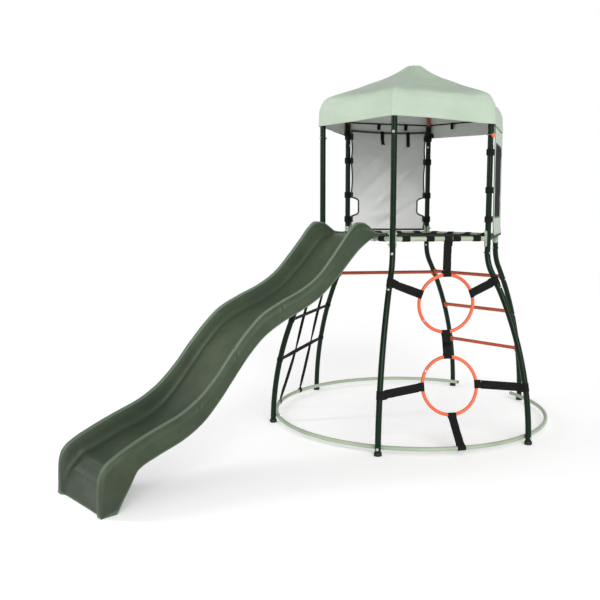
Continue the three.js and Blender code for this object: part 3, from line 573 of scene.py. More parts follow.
def post_bolts(name):
    """Bolts at the ring, the leg joint, the roof tube and the platform, and one more on the two hoop posts."""
    foot, radial = leg_at(name, RING_Z)[0], polar(POSTS[name], 1, 0)
    bolts = bolt(foot, unit(foot * (1, 1, 0)), LEG_R, nut_reach=np.linalg.norm(foot[:2]) - RING_R + RING_TUBE_R)
    for z in JOINT_BOLT_Z:
        bolts += bolt(leg_at(name, z)[0], radial, LEG_R)
    for dz in (-DECK_BOLT_DZ, DECK_BOLT_DZ):
        bolts += bolt(leg_at(name, DECK_Z + dz)[0], sideways(name), LEG_R + 0.0036)
    if name in ("front_right", "right"):
        bolts += bolt(leg_at(name, HOOP_BOLT_Z)[0], radial, LEG_R)
    piece(f"bolts_{name}", bolts, ZINC)


for name in POSTS:
    leg_and_post(name)
    foot_cup(name)
    post_bush(name)
    post_bolts(name)

# ---- Roof frame ----
bend = np.linspace(0, math.radians(90 - ROOF_PITCH), 16)
roof_bend = np.stack([TOWER_R - ROOF_BEND_R * (1 - np.cos(bend)), ROOF_BEND_Z + ROOF_BEND_R * np.sin(bend)], -1)
roof_slope = np.array([-math.cos(math.radians(ROOF_PITCH)), math.sin(math.radians(ROOF_PITCH))])
roof_run = (roof_bend[-1, 0] - 0.034) / math.cos(math.radians(ROOF_PITCH))
roof_line = np.concatenate([
    [(TOWER_R, z) for z in (1.730, 1.80, 1.87, 1.93)], roof_bend,
    [roof_bend[-1] + roof_slope * roof_run * k / 12 for k in range(1, 13)],
])
hub_profile = [(0, 2.2062), (0.046, 2.2062), (0.0515, 2.2085), (0.0538, 2.2130), (0.0540, 2.2420),
               (0.0520, 2.2465), (0.0400, 2.2560), (0.0300, 2.2595), (0, 2.2618)]
hub = [turned(hub_profile, sides=48)]
for name, angle in POSTS.items():
    line = np.array([polar(angle, r, z) for r, z in roof_line])
    across = np.cross(UP, polar(angle, 1, 0))
    rafter = tube(line, ROOF_TUBE_R, across, 24, 0.0010)
    piece(f"rafter_{name}", [rafter], ORANGE, [f"roof_tube_{name}"])
    toward = unit(line[-1] - line[-2])
    start = line[-1] - toward * 0.050
    collar = [(0.0113, 0), (0.0146, 0), (0.0156, 0.0012), (0.0156, 0.034), (0.0113, 0.034)]
    hub.append(sleeve(collar, start, toward, across, 24))
piece("roof_boss", hub, BLACK, ["roof_hub"])


# ---- Bars with saddle plates ----
def saddle(at, up, toward, height, half_angle=52, inner=0.0178, thick=0.0030):
    """A curved plate that hugs a tube, with round corners, facing toward the bar."""
    z = unit(up)
    x = unit(toward - z * np.dot(toward, z))
    y = np.cross(z, x)
    corner = min(0.013, height * 0.3)
    rows = np.linspace(-1, 1, 25)
    rows = np.sign(rows) * (1 - (1 - abs(rows)) ** 1.5)
    grids = []
    for radius in (inner + thick, inner):
        flat = math.radians(half_angle) * (inner + thick)
        grid = []
        for k in rows * height / 2:
            into = max(0.0, abs(k) - (height / 2 - corner))
            half = flat - corner + math.sqrt(max(corner**2 - into**2, 0.0))
            angles = np.linspace(-half, half, 15) / (inner + thick)
            grid.append([at + z * k + x * math.cos(a) * radius + y * math.sin(a) * radius for a in angles])
        grids.append(np.array(grid))
    return shell(grids[0], grids[1])


def weld(at, up, along, radius, seat=0.0208):
    """A rippled weld bead where a round bar meets a saddle plate."""
    z = unit(up)
    x = unit(along)
    y = np.cross(z, x)
    points = []
    for i in range(72):
        a = i * math.pi / 36
        lateral = (radius + 0.0008) * math.sin(a)
        ripple = 0.00025 * math.sin(18 * a)
        points.append(at + x * (math.sqrt(seat**2 - lateral**2) + 0.0006 + ripple) + y * lateral
                      + z * (radius + 0.0008) * math.cos(a))
    return sweep(points, circle(0.0019, 8), x, closed=True)


def span_bar(name, start, end, z, radius, plate, material, node, bolt_drop=None):
    (a, up_a), (b, up_b) = leg_at(start, z), leg_at(end, z)
    along = unit(b - a)
    line = [a + along * BAR_TRIM + (b - a - along * 2 * BAR_TRIM) * t for t in np.linspace(0, 1, 9)]
    parts = [tube(line, radius, UP, 28, 0), saddle(a, up_a, along, plate), saddle(b, up_b, -along, plate),
             weld(a, up_a, along, radius), weld(b, up_b, -along, radius)]
    if bolt_drop:
        for leg, direction in ((start, along), (end, -along)):
            centre = leg_at(leg, z - bolt_drop)[0]
            parts += bolt(centre, -direction, LEG_R, 0.0052, LEG_R + 0.0033, slot=1)
    return piece(name, parts, [material, ZINC], [node])


SIDE_POSTS = {
    "front": ("front_left", "front_right"), "front_right": ("front_right", "right"),
    "rear_right": ("right", "rear_right"), "rear": ("rear_right", "rear_left"),
    "rear_left": ("rear_left", "left"), "front_left": ("left", "front_left"),
}
for side, (start, end) in SIDE_POSTS.items():
    span_bar(f"platform_bar_{side}", start, end, DECK_Z, DECK_BAR_R, DECK_PLATE_H, MINT,
             f"deck_bar_{side}")
for i, z in enumerate(RUNG_Z, 1):
    span_bar(f"rung_{i}", "rear_left", "rear_right", z, RUNG_R, RUNG_PLATE_H, ORANGE,
             f"ladder_rung_{i}", RUNG_BOLT_DROP)
span_bar("side_bar", "rear_left", "left", SIDE_BAR_Z, RUNG_R, RUNG_PLATE_H, ORANGE,
         "rear_left_bar", RUNG_BOLT_DROP)

# ---- Base ring ----
for i, (start, end) in enumerate(zip(RING_JOINTS[:-1], RING_JOINTS[1:]), 1):
    trim = math.degrees(0.0004 / RING_R)
    arc = np.linspace(start + trim, end - trim, 40)
    line = np.array([polar(a, RING_R, RING_Z) for a in arc])
    piece(f"ring_tube_{i}", [tube(line, RING_TUBE_R, UP, 28, 0.0014)], MINT, [f"base_ring_{i}"])

ring_ends = []
for deg, turn in ((RING_JOINTS[0], -1), (RING_JOINTS[-1], 1)):
    out = polar(deg + 90, turn, 0)
    plug = [(0, 0), (0.0106, 0), (0.0106, 0.0004), (0.0124, 0.0004), (0.0124, 0.0026), (0.0112, 0.0036),
            (0, 0.0040)]
    ring_ends.append(turned(plug, polar(deg, RING_R, RING_Z) + out * 0.0001, out, 28))
piece("ring_plugs", ring_ends, BLACK)


# ---- Hoops ----
HOOP_OUT, HOOP_ACROSS = side_axes("front_right")


def hoop_frame(out, z, tilt):
    up = UP * math.cos(math.radians(tilt)) - HOOP_OUT * math.sin(math.radians(tilt))
    return HOOP_OUT * out + UP * z, up


def on_hoop(hoop, deg):
    centre, up = hoop
    c, s = math.cos(math.radians(deg)), math.sin(math.radians(deg))
    return centre + (HOOP_ACROSS * c + up * s) * HOOP_R, up * c - HOOP_ACROSS * s


UPPER, LOWER = hoop_frame(0.620, 0.827, 0), hoop_frame(0.700, 0.355, 14.4)
for name, hoop, joint in (("upper", UPPER, 215), ("lower", LOWER, 148)):
    facing = np.cross(HOOP_ACROSS, hoop[1])
    gap = 0.14
    line = [on_hoop(hoop, joint + 2.2 + gap + (360 - 2 * gap) * t)[0] for t in np.linspace(0, 1, 121)]
    ends = [on_hoop(hoop, joint + 2.2 + d)[0] for d in (-1.2, 0, 1.2)]
    parts = [tube(line, HOOP_TUBE_R, facing, 28, 0.0010), tube(ends, HOOP_TUBE_R - 0.0012, facing, 28, 0)]
    parts += bolt(on_hoop(hoop, joint)[0], facing, HOOP_TUBE_R - 0.0006, 0.0050, slot=1)
    piece(f"hoop_ring_{name}", parts, [CORAL, ZINC], [f"{name}_hoop"], f"{name}_hoop_body")


# ---- Webbing straps ----
TAPE_T = 0.0019


def loop_path(at, axis, toward, radius, tip, n=44):
    """Round a tube: from the sewn point, round the back of the tube, and back to the sewn point."""
    z = unit(axis)
    x = unit(toward - z * np.dot(toward, z))
    y = np.cross(z, x)
    phi = math.acos(radius / tip)
    arc = [at + radius * (x * math.cos(a) + y * math.sin(a)) for a in np.linspace(phi, 2 * math.pi - phi, n)]
    end = at + x * tip
    offset = y * TAPE_T * 0.52
    lead = [end + offset + (arc[0] - end - offset) * t for t in (0.0, 0.25, 0.5, 0.75)]
    tail = [arc[-1] + (end - offset - arc[-1]) * t for t in (0.25, 0.5, 0.75, 1.0)]
    return np.array(lead + arc + tail), y


def web_strap(a, b, width, seat_a, seat_b, sewn=0.060, twist=0.0):
    """One band: sewn back on itself at both ends, each end looped round a tube. a, b: (point, axis)."""
    along = unit(b[0] - a[0])
    axis_b = b[1] if np.dot(a[1], b[1]) >= 0 else -b[1]
    tip_a, tip_b = seat_a + 0.016, seat_b + 0.016
    loop_a, side_a = loop_path(a[0], a[1], along, seat_a, tip_a)
    loop_b, side_b = loop_path(b[0], axis_b, -along, seat_b, tip_b)
    start, end = a[0] + along * tip_a, b[0] - along * tip_b
    run = np.linalg.norm(end - start)
    n = 40
    t = np.linspace(0, 1, n)[:, None]
    refs = unit(a[1] * (1 - smooth_step(t)) + axis_b * smooth_step(t))
    if twist:
        turn = np.radians(twist) * np.sin(np.pi * t) ** 2
        refs = unit(refs * np.cos(turn) + np.cross(np.broadcast_to(along, refs.shape), refs) * np.sin(turn))
    middle = start + (end - start) * t
    normal = np.cross(np.broadcast_to(along, refs.shape), refs)
    if np.dot(normal[0], side_a) < 0:
        loop_a = loop_a[::-1]
    if np.dot(normal[-1], side_b) < 0:
        loop_b = loop_b[::-1]
    shift = normal * TAPE_T * 0.52
    parts = []
    over_a = (t[:, 0] * run <= sewn)
    over_b = ((1 - t[:, 0]) * run <= sewn)
    band = flat_section(width, TAPE_T)
    path = np.concatenate([loop_a, (middle - shift)[1:-1]])
    path_ref = np.concatenate([np.repeat(a[1][None], len(loop_a), 0), refs[1:-1]])
    parts.append(sweep(path, band, path_ref))
    parts.append(sweep(loop_b, band, np.repeat(axis_b[None], len(loop_b), 0)))
    for over in (over_a, over_b):
        parts.append(sweep((middle + shift)[over], band, refs[over]))
        index = np.flatnonzero(over)
        mid = index[len(index) // 2]
        centre = (middle + shift)[mid] + normal[mid] * TAPE_T * 0.55
        parts += box_stitch(centre, along, refs[mid], normal[mid], min(sewn, run) * 0.62, width * 0.78, 1)
    return parts


HOOP_SEAT = HOOP_TUBE_R + 0.0013
LEG_SEAT = LEG_R + 0.0013
BAR_SEAT = DECK_BAR_R + 0.0012
RING_SEAT = RING_TUBE_R + 0.0012
BAR_HOLD = (side_point("front_right", APOTHEM, 0.044, DECK_Z), HOOP_ACROSS)
RING_MID = (HOOP_OUT * RING_R + UP * RING_Z, HOOP_ACROSS)
HOOP_STRAPS = {
    "hoop_strap_top": (BAR_HOLD, on_hoop(UPPER, 90), BAR_SEAT, HOOP_SEAT),
    "hoop_strap_upper_left": (leg_at("front_right", 0.950), on_hoop(UPPER, 160), LEG_SEAT, HOOP_SEAT),
    "hoop_strap_upper_right": (leg_at("right", 0.950), on_hoop(UPPER, 20), LEG_SEAT, HOOP_SEAT),
    "hoop_strap_middle": (on_hoop(UPPER, 270), on_hoop(LOWER, 90), HOOP_SEAT, HOOP_SEAT),
    "hoop_strap_lower_left": (leg_at("front_right", 0.338), on_hoop(LOWER, 180), LEG_SEAT, HOOP_SEAT),
    "hoop_strap_lower_right": (leg_at("right", 0.338), on_hoop(LOWER, 0), LEG_SEAT, HOOP_SEAT),
    "hoop_strap_bottom": (on_hoop(LOWER, 270), RING_MID, HOOP_SEAT, RING_SEAT),
}
for name, (a, b, seat_a, seat_b) in HOOP_STRAPS.items():
    piece(f"{name}_band", web_strap(a, b, STRAP_W, seat_a, seat_b), [WEB, THREAD], [name])

# ---- Climbing net ----
NET_OUT, NET_ACROSS = side_axes("front_left")


def net_plane(z):
    return float(np.dot(leg_at("left", z)[0], NET_OUT))


net = []
for top_at, foot_at in ((0.150, 0.125), (-0.130, -0.235)):
    foot_deg = SIDES["front_left"] + math.degrees(math.asin(foot_at / RING_R))
    top, foot = side_point("front_left", APOTHEM, top_at, DECK_Z), polar(foot_deg, RING_R, RING_Z)
    keys = []
    for z in NET_CROSS_Z[::-1]:
        lateral = foot_at + (top_at - foot_at) * (z - RING_Z) / (DECK_Z - RING_Z)
        keys.append(side_point("front_left", net_plane(z) + 0.0034, lateral, z))
    toward_top, toward_foot = unit(keys[0] - top), unit(keys[1] - foot)
    loop_top, side_top = loop_path(top, NET_ACROSS, toward_top, BAR_SEAT, BAR_SEAT + 0.014)
    loop_foot, side_foot = loop_path(foot, polar(foot_deg + 90, 1, 0), toward_foot, RING_SEAT, RING_SEAT + 0.014)
    ends = [top + toward_top * (BAR_SEAT + 0.014), *keys, foot + toward_foot * (RING_SEAT + 0.014)]
    line = through(ends, 90)
    turn = 0.72 * abs(np.sin(np.linspace(0, 3 * np.pi, 90)))[:, None] ** 0.6 * np.linspace(0.7, 1, 90)[:, None]
    refs = unit(NET_ACROSS * np.cos(turn) + NET_OUT * np.sin(turn))
    band = flat_section(NET_W, TAPE_T)
    net += [sweep(line, band, refs), sweep(loop_top, band, NET_ACROSS),
            sweep(loop_foot, band, polar(foot_deg + 90, 1, 0))]
    for at, tip in ((line[0:9], 0), (line[-9:], 1)):
        net.append(sweep(at + NET_OUT * TAPE_T * 1.05, band, refs[:9] if tip == 0 else refs[-9:]))
    for key in keys:
        net += box_stitch(key + NET_OUT * TAPE_T * 0.6, UP, NET_ACROSS, NET_OUT, 0.018, 0.018, 1)
for z, twist in zip(NET_CROSS_Z, (62, 8)):
    net += web_strap(leg_at("left", z), leg_at("front_left", z), NET_W, LEG_SEAT, LEG_SEAT, 0.04, twist)
piece("rope_net", net, [WEB, THREAD], ["climbing_net"])

# ---- Platform mat with its loops ----
MAT_R = 0.497 / math.cos(math.radians(30))
rows, per_side = 60, 30
grid = np.zeros((rows, 6 * per_side, 3))
reach = np.concatenate([np.linspace(0, 0.93, rows - 14), np.linspace(0.937, 1, 14)])
for i, share in enumerate(reach):
    for j in range(6 * per_side):
        side, t = divmod(j, per_side)
        a, b = polar(side * 60, MAT_R * share, 0), polar(side * 60 + 60, MAT_R * share, 0)
        u = t / per_side
        pull = 1 - 0.006 * share**8 * math.sin(4 * math.pi * u) ** 2
        point = (a + (b - a) * u) * pull
        sag = -0.0022 * (1 - share**2) + 0.0011 * noise.noise(Vector((point[0] * 7, point[1] * 7, 3.1)))
        hem = 0.0007 * smooth_step((share - 0.944) / 0.006)
        grid[i, j] = point + UP * (DECK_Z + 0.0002 + sag * (1 - share**6) + hem)
under = grid.copy()
under[..., 2] -= 0.0022 + 2 * np.maximum(0, (reach > 0.944) * 0.0007)[:, None]
mat_part = shell(grid, under, wrap_cols=True, uv=grid[..., :2])
hem_rows = []
for inset in (0.012, 0.026):
    ring_line = [polar(k * 60, MAT_R - inset / math.cos(math.radians(30)), DECK_Z + 0.0013) for k in range(7)]
    hem_rows.append(stitches(ring_line, UP, 0.0060, (0.0042, 0.0009, 0.0007), 1))
mat = piece("platform_mat", [mat_part] + hem_rows, [MESH, THREAD], ["deck_mat"], merge=True)

loops = []
loop_seat = DECK_BAR_R + 0.0014
for side in SIDES:
    out, across = side_axes(side)
    laterals = (-0.220, -0.070, 0.097, 0.225) if side == "front_right" else (-0.220, -0.075, 0.075, 0.220)
    for lateral in laterals:
        keys = [(-0.066, -0.0042), (-0.045, -0.0044), (-0.030, -0.0058)]
        around_bar = np.radians(np.linspace(-140, 140, 40))
        keys += [(loop_seat * math.cos(a), loop_seat * math.sin(a)) for a in around_bar]
        keys += [(-0.030, 0.0046), (-0.045, 0.0030), (-0.066, 0.0029)]
        line = [side_point(side, APOTHEM + x, lateral, DECK_Z + z) for x, z in keys]
        loops.append(sweep(line, flat_section(STRAP_W, TAPE_T), across))
        mark = side_point(side, APOTHEM - 0.049, lateral, DECK_Z + 0.0041)
        loops += box_stitch(mark, out, across, UP, 0.024, 0.040, 1)
piece("platform_loops", loops, [WEB, THREAD])


# ---- Slide ----
# Distance out, bed height, rail height, skirt foot, half width, down to where the exit starts to turn.
SLIDE_RUN = [
    (0.468, 1.223, 1.231, 1.219, 0.196), (0.540, 1.223, 1.239, 1.218, 0.196), (0.570, 1.222, 1.257, 1.208, 0.197),
    (0.610, 1.215, 1.282, 1.190, 0.198), (0.650, 1.199, 1.296, 1.168, 0.199), (0.695, 1.170, 1.298, 1.140, 0.200),
    (0.745, 1.125, 1.267, 1.100, 0.201), (0.810, 1.063, 1.199, 1.042, 0.202), (0.900, 0.983, 1.106, 0.966, 0.204),
    (1.010, 0.903, 1.006, 0.888, 0.206), (1.130, 0.848, 0.940, 0.833, 0.208), (1.270, 0.799, 0.889, 0.781, 0.210),
    (1.400, 0.737, 0.832, 0.716, 0.211), (1.500, 0.652, 0.754, 0.633, 0.212), (1.600, 0.544, 0.655, 0.525, 0.213),
    (1.700, 0.434, 0.545, 0.415, 0.214), (1.800, 0.347, 0.458, 0.326, 0.215), (1.910, 0.292, 0.396, 0.268, 0.216),
    (2.050, 0.251, 0.349, 0.222, 0.217), (2.150, 0.213, 0.313, 0.180, 0.218), (2.195, 0.197, 0.294, 0.112, 0.220),
    (2.235, 0.184, 0.277, 0.052, 0.222),
]
# The exit turns down to the ground: bed out and height, rail out and height, skirt foot out.
SLIDE_EXIT = [
    (2.262, 0.162, 2.266, 0.261, 2.268), (2.288, 0.138, 2.301, 0.240, 2.284), (2.308, 0.107, 2.328, 0.207, 2.298),
    (2.321, 0.071, 2.341, 0.158, 2.312), (2.328, 0.035, 2.345, 0.085, 2.328), (2.331, 0.0005, 2.345, 0.0005, 2.345),
]
SLIDE_SECTION = np.array([(0, -0.03), (0.5, -0.01), (0.69, 0.035), (0.745, 0.16), (0.815, 0.76), (0.86, 0.985),
                          (0.92, 1), (0.97, 0.8)])
DIMPLES = ((-0.02, 1.80), (0.0, 1.61), (-0.04, 0.90), (0.10, 2.24), (-0.04, 2.29))
GROOVES = (1.28, 1.58, 1.81)
SKIN = 0.0046


def thicken(verts, faces, depth):
    """Closes an open sheet of faces into a shell by adding its inner face and its rim."""
    normals = np.zeros_like(verts)
    for f in faces:
        normals[list(f)] += np.cross(verts[f[2]] - verts[f[0]], verts[f[3]] - verts[f[1]])
    inner = verts - unit(normals) * depth
    edges = {(a, b) for f in faces for a, b in zip(f, f[1:] + f[:1])}
    n = len(verts)
    rim = [[b, a, a + n, b + n] for a, b in sorted(edges) if (b, a) not in edges]
    return np.concatenate([verts, inner]), faces + [[k + n for k in f[::-1]] for f in faces] + rim


def build_slide():
    # Columns: bed out, bed height, rail out, rail height, skirt foot out, skirt foot height, half width.
    keys = np.array([(o, bed, o, rail, o, foot, half) for o, bed, rail, foot, half in SLIDE_RUN]
                    + [(bo, bz, ro, rz, fo, 0.0005, 0.223) for bo, bz, ro, rz, fo in SLIDE_EXIT])
    middle = (keys[:, 0:2] + keys[:, 2:4]) / 2
    at = distances(middle)
    fine = np.concatenate([np.linspace(0, at[21], 290)[:-1], np.linspace(at[21], at[-1], 40)])
    stations = smooth_table(at, keys, fine)
    nominal = SLIDE_SECTION * (0.21, 0.10)
    knots = distances(nominal)
    dense = np.concatenate([np.linspace(0, knots[2], 13)[:-1], np.linspace(knots[2], knots[-1], 28)])
    section = smooth_table(knots, SLIDE_SECTION, dense)
    section = np.concatenate([section[:0:-1] * (-1, 1), section])
    share, height = section[:, 0], section[:, 1]
    bed_out, bed, rail_out, rail, foot_out, foot, half = [c[:, None] for c in stations.T]
    grid = np.stack([share * half, -(bed_out + height * (rail_out - bed_out)), bed + height * (rail - bed)], -1)
    for x, out in DIMPLES:
        grid[..., 2] -= 0.0026 * np.exp(-((grid[..., 0] - x) ** 2 + (grid[..., 1] + out) ** 2) / 0.0068**2)
    for out in GROOVES:
        wall = smooth_step((abs(share) - 0.84) / 0.05)
        grid[..., 2] -= 0.0016 * wall * np.exp(-(((grid[..., 1] + out) / 0.006) ** 2))
    # The face below the exit is dished between its two ribs.
    turned_down = smooth_step((-grid[..., 1] - 2.29) / 0.03) * np.clip(1 - (share / 0.8) ** 2, 0, 1)
    grid[..., 1] += 0.010 * turned_down * smooth_step(grid[..., 2] / 0.05)
    wobble = [[noise.noise(Vector((p[0] * 6, p[1] * 4, 1.7))) for p in row] for row in grid]
    grid[..., 2] += 0.0012 * np.array(wobble) * smooth_step(grid[..., 2] / 0.05)
    n_rows, n_cols = grid.shape[:2]
    index = np.arange(n_rows * n_cols).reshape(n_rows, n_cols)
    verts, faces, start = [grid.reshape(-1, 3)], grid_faces(n_rows, n_cols), n_rows * n_cols
    for col, sign in ((0, -1), (n_cols - 1, 1)):
        top = grid[:, col]
        base = np.concatenate([sign * half, -foot_out, foot], 1)
        previous = index[:, col]
        for s in (0.06, 0.13, 0.21, 0.30, 0.45, 0.60, 0.75, 0.88, 0.96, 1.0):
            row = top + (base - top) * s
            ease = 1 - (1 - min(1.0, s / 0.3)) ** 2
            flare = 0.0020 * max(0.0, (s - 0.88) / 0.12)
            row[:, 0] = top[:, 0] + (base[:, 0] - top[:, 0]) * ease + sign * flare * smooth_step(row[:, 2] / 0.05)
            for out in GROOVES:
                row[:, 0] -= sign * 0.0014 * np.exp(-(((row[:, 1] + out) / 0.006) ** 2))
            current = start + np.arange(n_rows)
            quads = np.stack([previous[:-1], previous[1:], current[1:], current[:-1]], -1)
            faces += (quads if sign > 0 else quads[:, ::-1]).tolist()
            verts.append(row)
            previous, start = current, start + n_rows
    verts = np.concatenate(verts)
    first = faces[0]
    if np.cross(verts[first[2]] - verts[first[0]], verts[first[3]] - verts[first[1]])[2] < 0:
        faces = [f[::-1] for f in faces]
    verts, faces = thicken(verts, faces, SKIN)
    return verts, faces, None, 0


piece("slide_shell", [build_slide()], PLASTIC, ["slide"], sharp=50)

for name, x in (("left", -0.145), ("right", 0.145)):
    seat = 0.0167
    keys = [(-0.042, 0.0163), (-0.030, 0.0163), (-0.0205, 0.0163), (-0.0180, 0.0150), (-seat, 0.0115),
            (-seat, 0.004)]
    keys += [(seat * math.cos(a), seat * math.sin(a)) for a in np.radians(np.linspace(180, 360, 22))]
    keys += [(-y, z) for y, z in keys[:6][::-1]]
    line = np.array([(x, -APOTHEM + y, DECK_Z + z) for y, z in keys])
    parts = [sweep(line, flat_section(0.030, 0.0022), (1, 0, 0))]
    for y in (-0.031, 0.031):
        parts += bolt(np.array([x, -APOTHEM + y, DECK_Z + 0.0160]), -UP, 0.0012, 0.0045)[:1]
    piece(f"clamp_{name}", parts, ZINC, [f"slide_clamp_{name}"])


# ---- Canopy ----
# The ridge, as distance from the axis to the sharp corner and height, from the crown to the hem.
RIDGE = np.array([(0.002, 2.2810), (0.040, 2.2770), (0.075, 2.2600), (0.100, 2.2430), (0.166, 2.2080),
                  (0.240, 2.1750), (0.300, 2.1520), (0.381, 2.1180), (0.478, 2.0840), (0.545, 2.0600),
                  (0.585, 2.0400), (0.605, 2.0170), (0.6185, 1.9900), (0.6255, 1.9640), (0.6280, 1.9000),
                  (0.6290, 1.8770)])
PER_SIDE, PER_CORNER = 26, 8
CANOPY_STEP, CANOPY_STITCH, STITCH_LIFT = 0.0062, (0.0040, 0.0010, 0.0007), 0.0004


def canopy_plan(radius):
    """One level line of the canopy: a hexagon with round corners. Gives points, share of side, corner flag."""
    rounding = min(0.019, 0.3 * radius)
    tangent = rounding * math.tan(math.radians(30))
    half = radius / 2 - tangent
    flat = radius * math.cos(math.radians(30))
    points, shares = [], []
    for side in range(6):
        mid = side * 60 + 30
        for i in range(PER_SIDE):
            u = math.sin(math.pi / 2 * (2 * (i + 0.5) / PER_SIDE - 1))
            points.append(side_point(mid, flat, u * half, 0))
            shares.append(u)
        centre = polar(side * 60 + 60, (flat - rounding) / math.cos(math.radians(30)), 0)
        for k in range(PER_CORNER):
            points.append(centre + polar(mid + 60 * (k + 0.5) / PER_CORNER, rounding, 0))
            shares.append(1.0)
    return np.array(points), np.array(shares)


# The cover was pulled on unevenly: how much higher each corner sits at the eave and at the hem.
EAVE_LIFT = {0: 0.007, 60: 0.0, 120: 0.0, 180: 0.006, 240: 0.012, 300: 0.019, 360: 0.007}
HEM_LIFT = {0: -0.003, 60: 0.0, 120: 0.0, 180: 0.004, 240: 0.009, 300: 0.025, 360: -0.003}


def corner_lift(points, on_roof, share):
    deg = np.degrees(np.arctan2(points[:, 1], points[:, 0])) % 360
    eave = smooth_table(list(EAVE_LIFT), list(EAVE_LIFT.values()), deg)
    hem = smooth_table(list(HEM_LIFT), list(HEM_LIFT.values()), deg)
    return (hem + (eave - hem) * on_roof) * smooth_step(share / 0.75) + 0.004 * (1 - smooth_step(share / 0.3))


def canopy_grids():
    at = distances(RIDGE)
    fine = np.unique(np.concatenate([np.linspace(0, at[-1], 96), np.linspace(at[9], at[12], 22),
                                     np.linspace(at[-1] - 0.03, at[-1], 8)]))
    profile = smooth_table(at, RIDGE, fine)
    slope = unit(np.gradient(profile, axis=0))
    lean = np.stack([-slope[:, 1], slope[:, 0]], -1)
    outer, inner = [], []
    for (radius, z), (n_out, n_up), s in zip(profile, lean, fine):
        points, shares = canopy_plan(radius)
        facing = unit(points * (1, 1, 0))
        side = np.floor(np.degrees(np.arctan2(points[:, 1], points[:, 0])) % 360 / 60)
        face = np.array([polar(k * 60 + 30, 1, 0) for k in side])
        on_roof = 1 - smooth_step((s - at[9]) / (at[12] - at[9]))
        dip = 0.019 * math.sin(math.pi * min(1.0, s / at[-1] * 0.86)) ** 1.2 * on_roof
        bow = 0.0045 * (1 - on_roof)
        belly = (1 - shares**2) ** 0.85
        puff = []
        for p in points:
            wide = noise.noise(Vector((p[0] * 3.2, p[1] * 3.2, z * 3.0)))
            fold = noise.noise(Vector((p[0] * 16, p[1] * 16, z * 5.0 + 9)))
            hang = noise.noise(Vector((p[0] * 7, p[1] * 7, z * 1.2 + 4)))
            crease = abs(noise.noise(Vector((p[0] * 8 + 3, p[1] * 8, z * 8.0)))) - 0.2
            depth = 0.0070 * wide * on_roof + 0.0026 * fold + 0.0050 * hang * (1 - on_roof) - 0.0075 * crease
            puff.append(max(-0.0012 - 0.02 * on_roof, depth))
        edge = smooth_step((1 - abs(shares)) / 0.25)
        push = -(dip + bow) * belly + np.array(puff) * edge * min(1.0, radius / 0.15)
        seam = 0.0014 * (1 - smooth_step((1 - abs(shares)) * radius / 2 / 0.008 - 0.6)) * min(1.0, radius / 0.1)
        hem = 0.0007 * smooth_step((s - (at[-1] - 0.026)) / 0.002)
        eave = (0.0045 * math.exp(-abs(s - at[10]) / 0.011) + 0.0030 * math.exp(-abs(s - at[12]) / 0.009)) * belly
        direction = face * n_out + UP * n_up
        lifted = points + UP * z + direction * (push + seam + hem + eave)[:, None]
        lifted[:, 2] += corner_lift(points, on_roof, s / at[-1])
        if s > at[-1] - 0.2:
            wave = np.array([noise.noise(Vector((p[0] * 3.1, p[1] * 3.1, 7.7))) for p in points])
            lifted[:, 2] += wave * 0.004 * smooth_step((s - (at[-1] - 0.15)) / 0.15) + 0.001
        outer.append(lifted)
        inner.append(lifted - direction * 0.0013 - facing * 0.0001)
    return np.array(outer), np.array(inner), fine, at


outer, inner, canopy_s, canopy_at = canopy_grids()
around = distances(outer[-1])
canopy_uv = np.stack(np.broadcast_arrays(around[None, :], canopy_s[:, None]), -1)
parts = [shell(outer, inner, wrap_cols=True, slots=(0, 1), uv=canopy_uv)]
normals = grid_normals(outer, True)
if normals[40, 5][2] < 0:
    normals = -normals
columns = PER_SIDE + PER_CORNER
for side in range(6):
    for offset in (-2, PER_CORNER + 1):
        col = (side * columns + PER_SIDE + offset) % outer.shape[1]
        raised = outer[6:, col] + normals[6:, col] * STITCH_LIFT
        parts.append(stitches(raised, normals[40, col], CANOPY_STEP, CANOPY_STITCH, 2))
for target in (canopy_at[11] + 0.010, canopy_at[11] - 0.010, canopy_at[-1] - 0.024, canopy_at[-1] - 0.006):
    row = int(np.argmin(abs(canopy_s - target)))
    level = np.concatenate([outer[row], outer[row][:1]])
    facing = np.concatenate([normals[row], normals[row][:1]])
    for a in range(0, len(level) - 1, columns):
        b = min(a + columns + 1, len(level))
        raised = level[a:b] + facing[a:b] * STITCH_LIFT
        parts.append(stitches(raised, facing[(a + b) // 2], CANOPY_STEP, CANOPY_STITCH, 2))
canopy = piece("canopy_cloth", parts, [ROOF_OUT, ROOF_IN, PALE_THREAD], ["canopy"], merge=True)

# A dark tape binds the seam inside the skirt, with three black tabs on it.
tape_row = int(np.argmin(abs(outer[:, 5, 2] - 1.972)))
tape = inner[tape_row] - unit(inner[tape_row] * (1, 1, 0)) * 0.0042
tabs = [sweep(tape, flat_section(0.009, 0.0012), UP, closed=True)]
for side, lateral in (("rear_left", 0.074), ("rear_left", -0.127), ("rear", 0.091)):
    top = side_point(side, 0.5190, lateral, 1.974)
    keys = [top, top - UP * 0.018, side_point(side, 0.5205, lateral + 0.001, 1.942),
            side_point(side, 0.5215, lateral, 1.930)]
    tabs.append(sweep(through(keys, 14), flat_section(0.024, 0.0018), side_axes(side)[1]))
piece("canopy_tape", tabs, WEB)


# ---- Fabric walls ----
WALL_T, LEFT_FOOT_Z, RIGHT_FOOT_Z = 0.0014, 1.219, 1.205


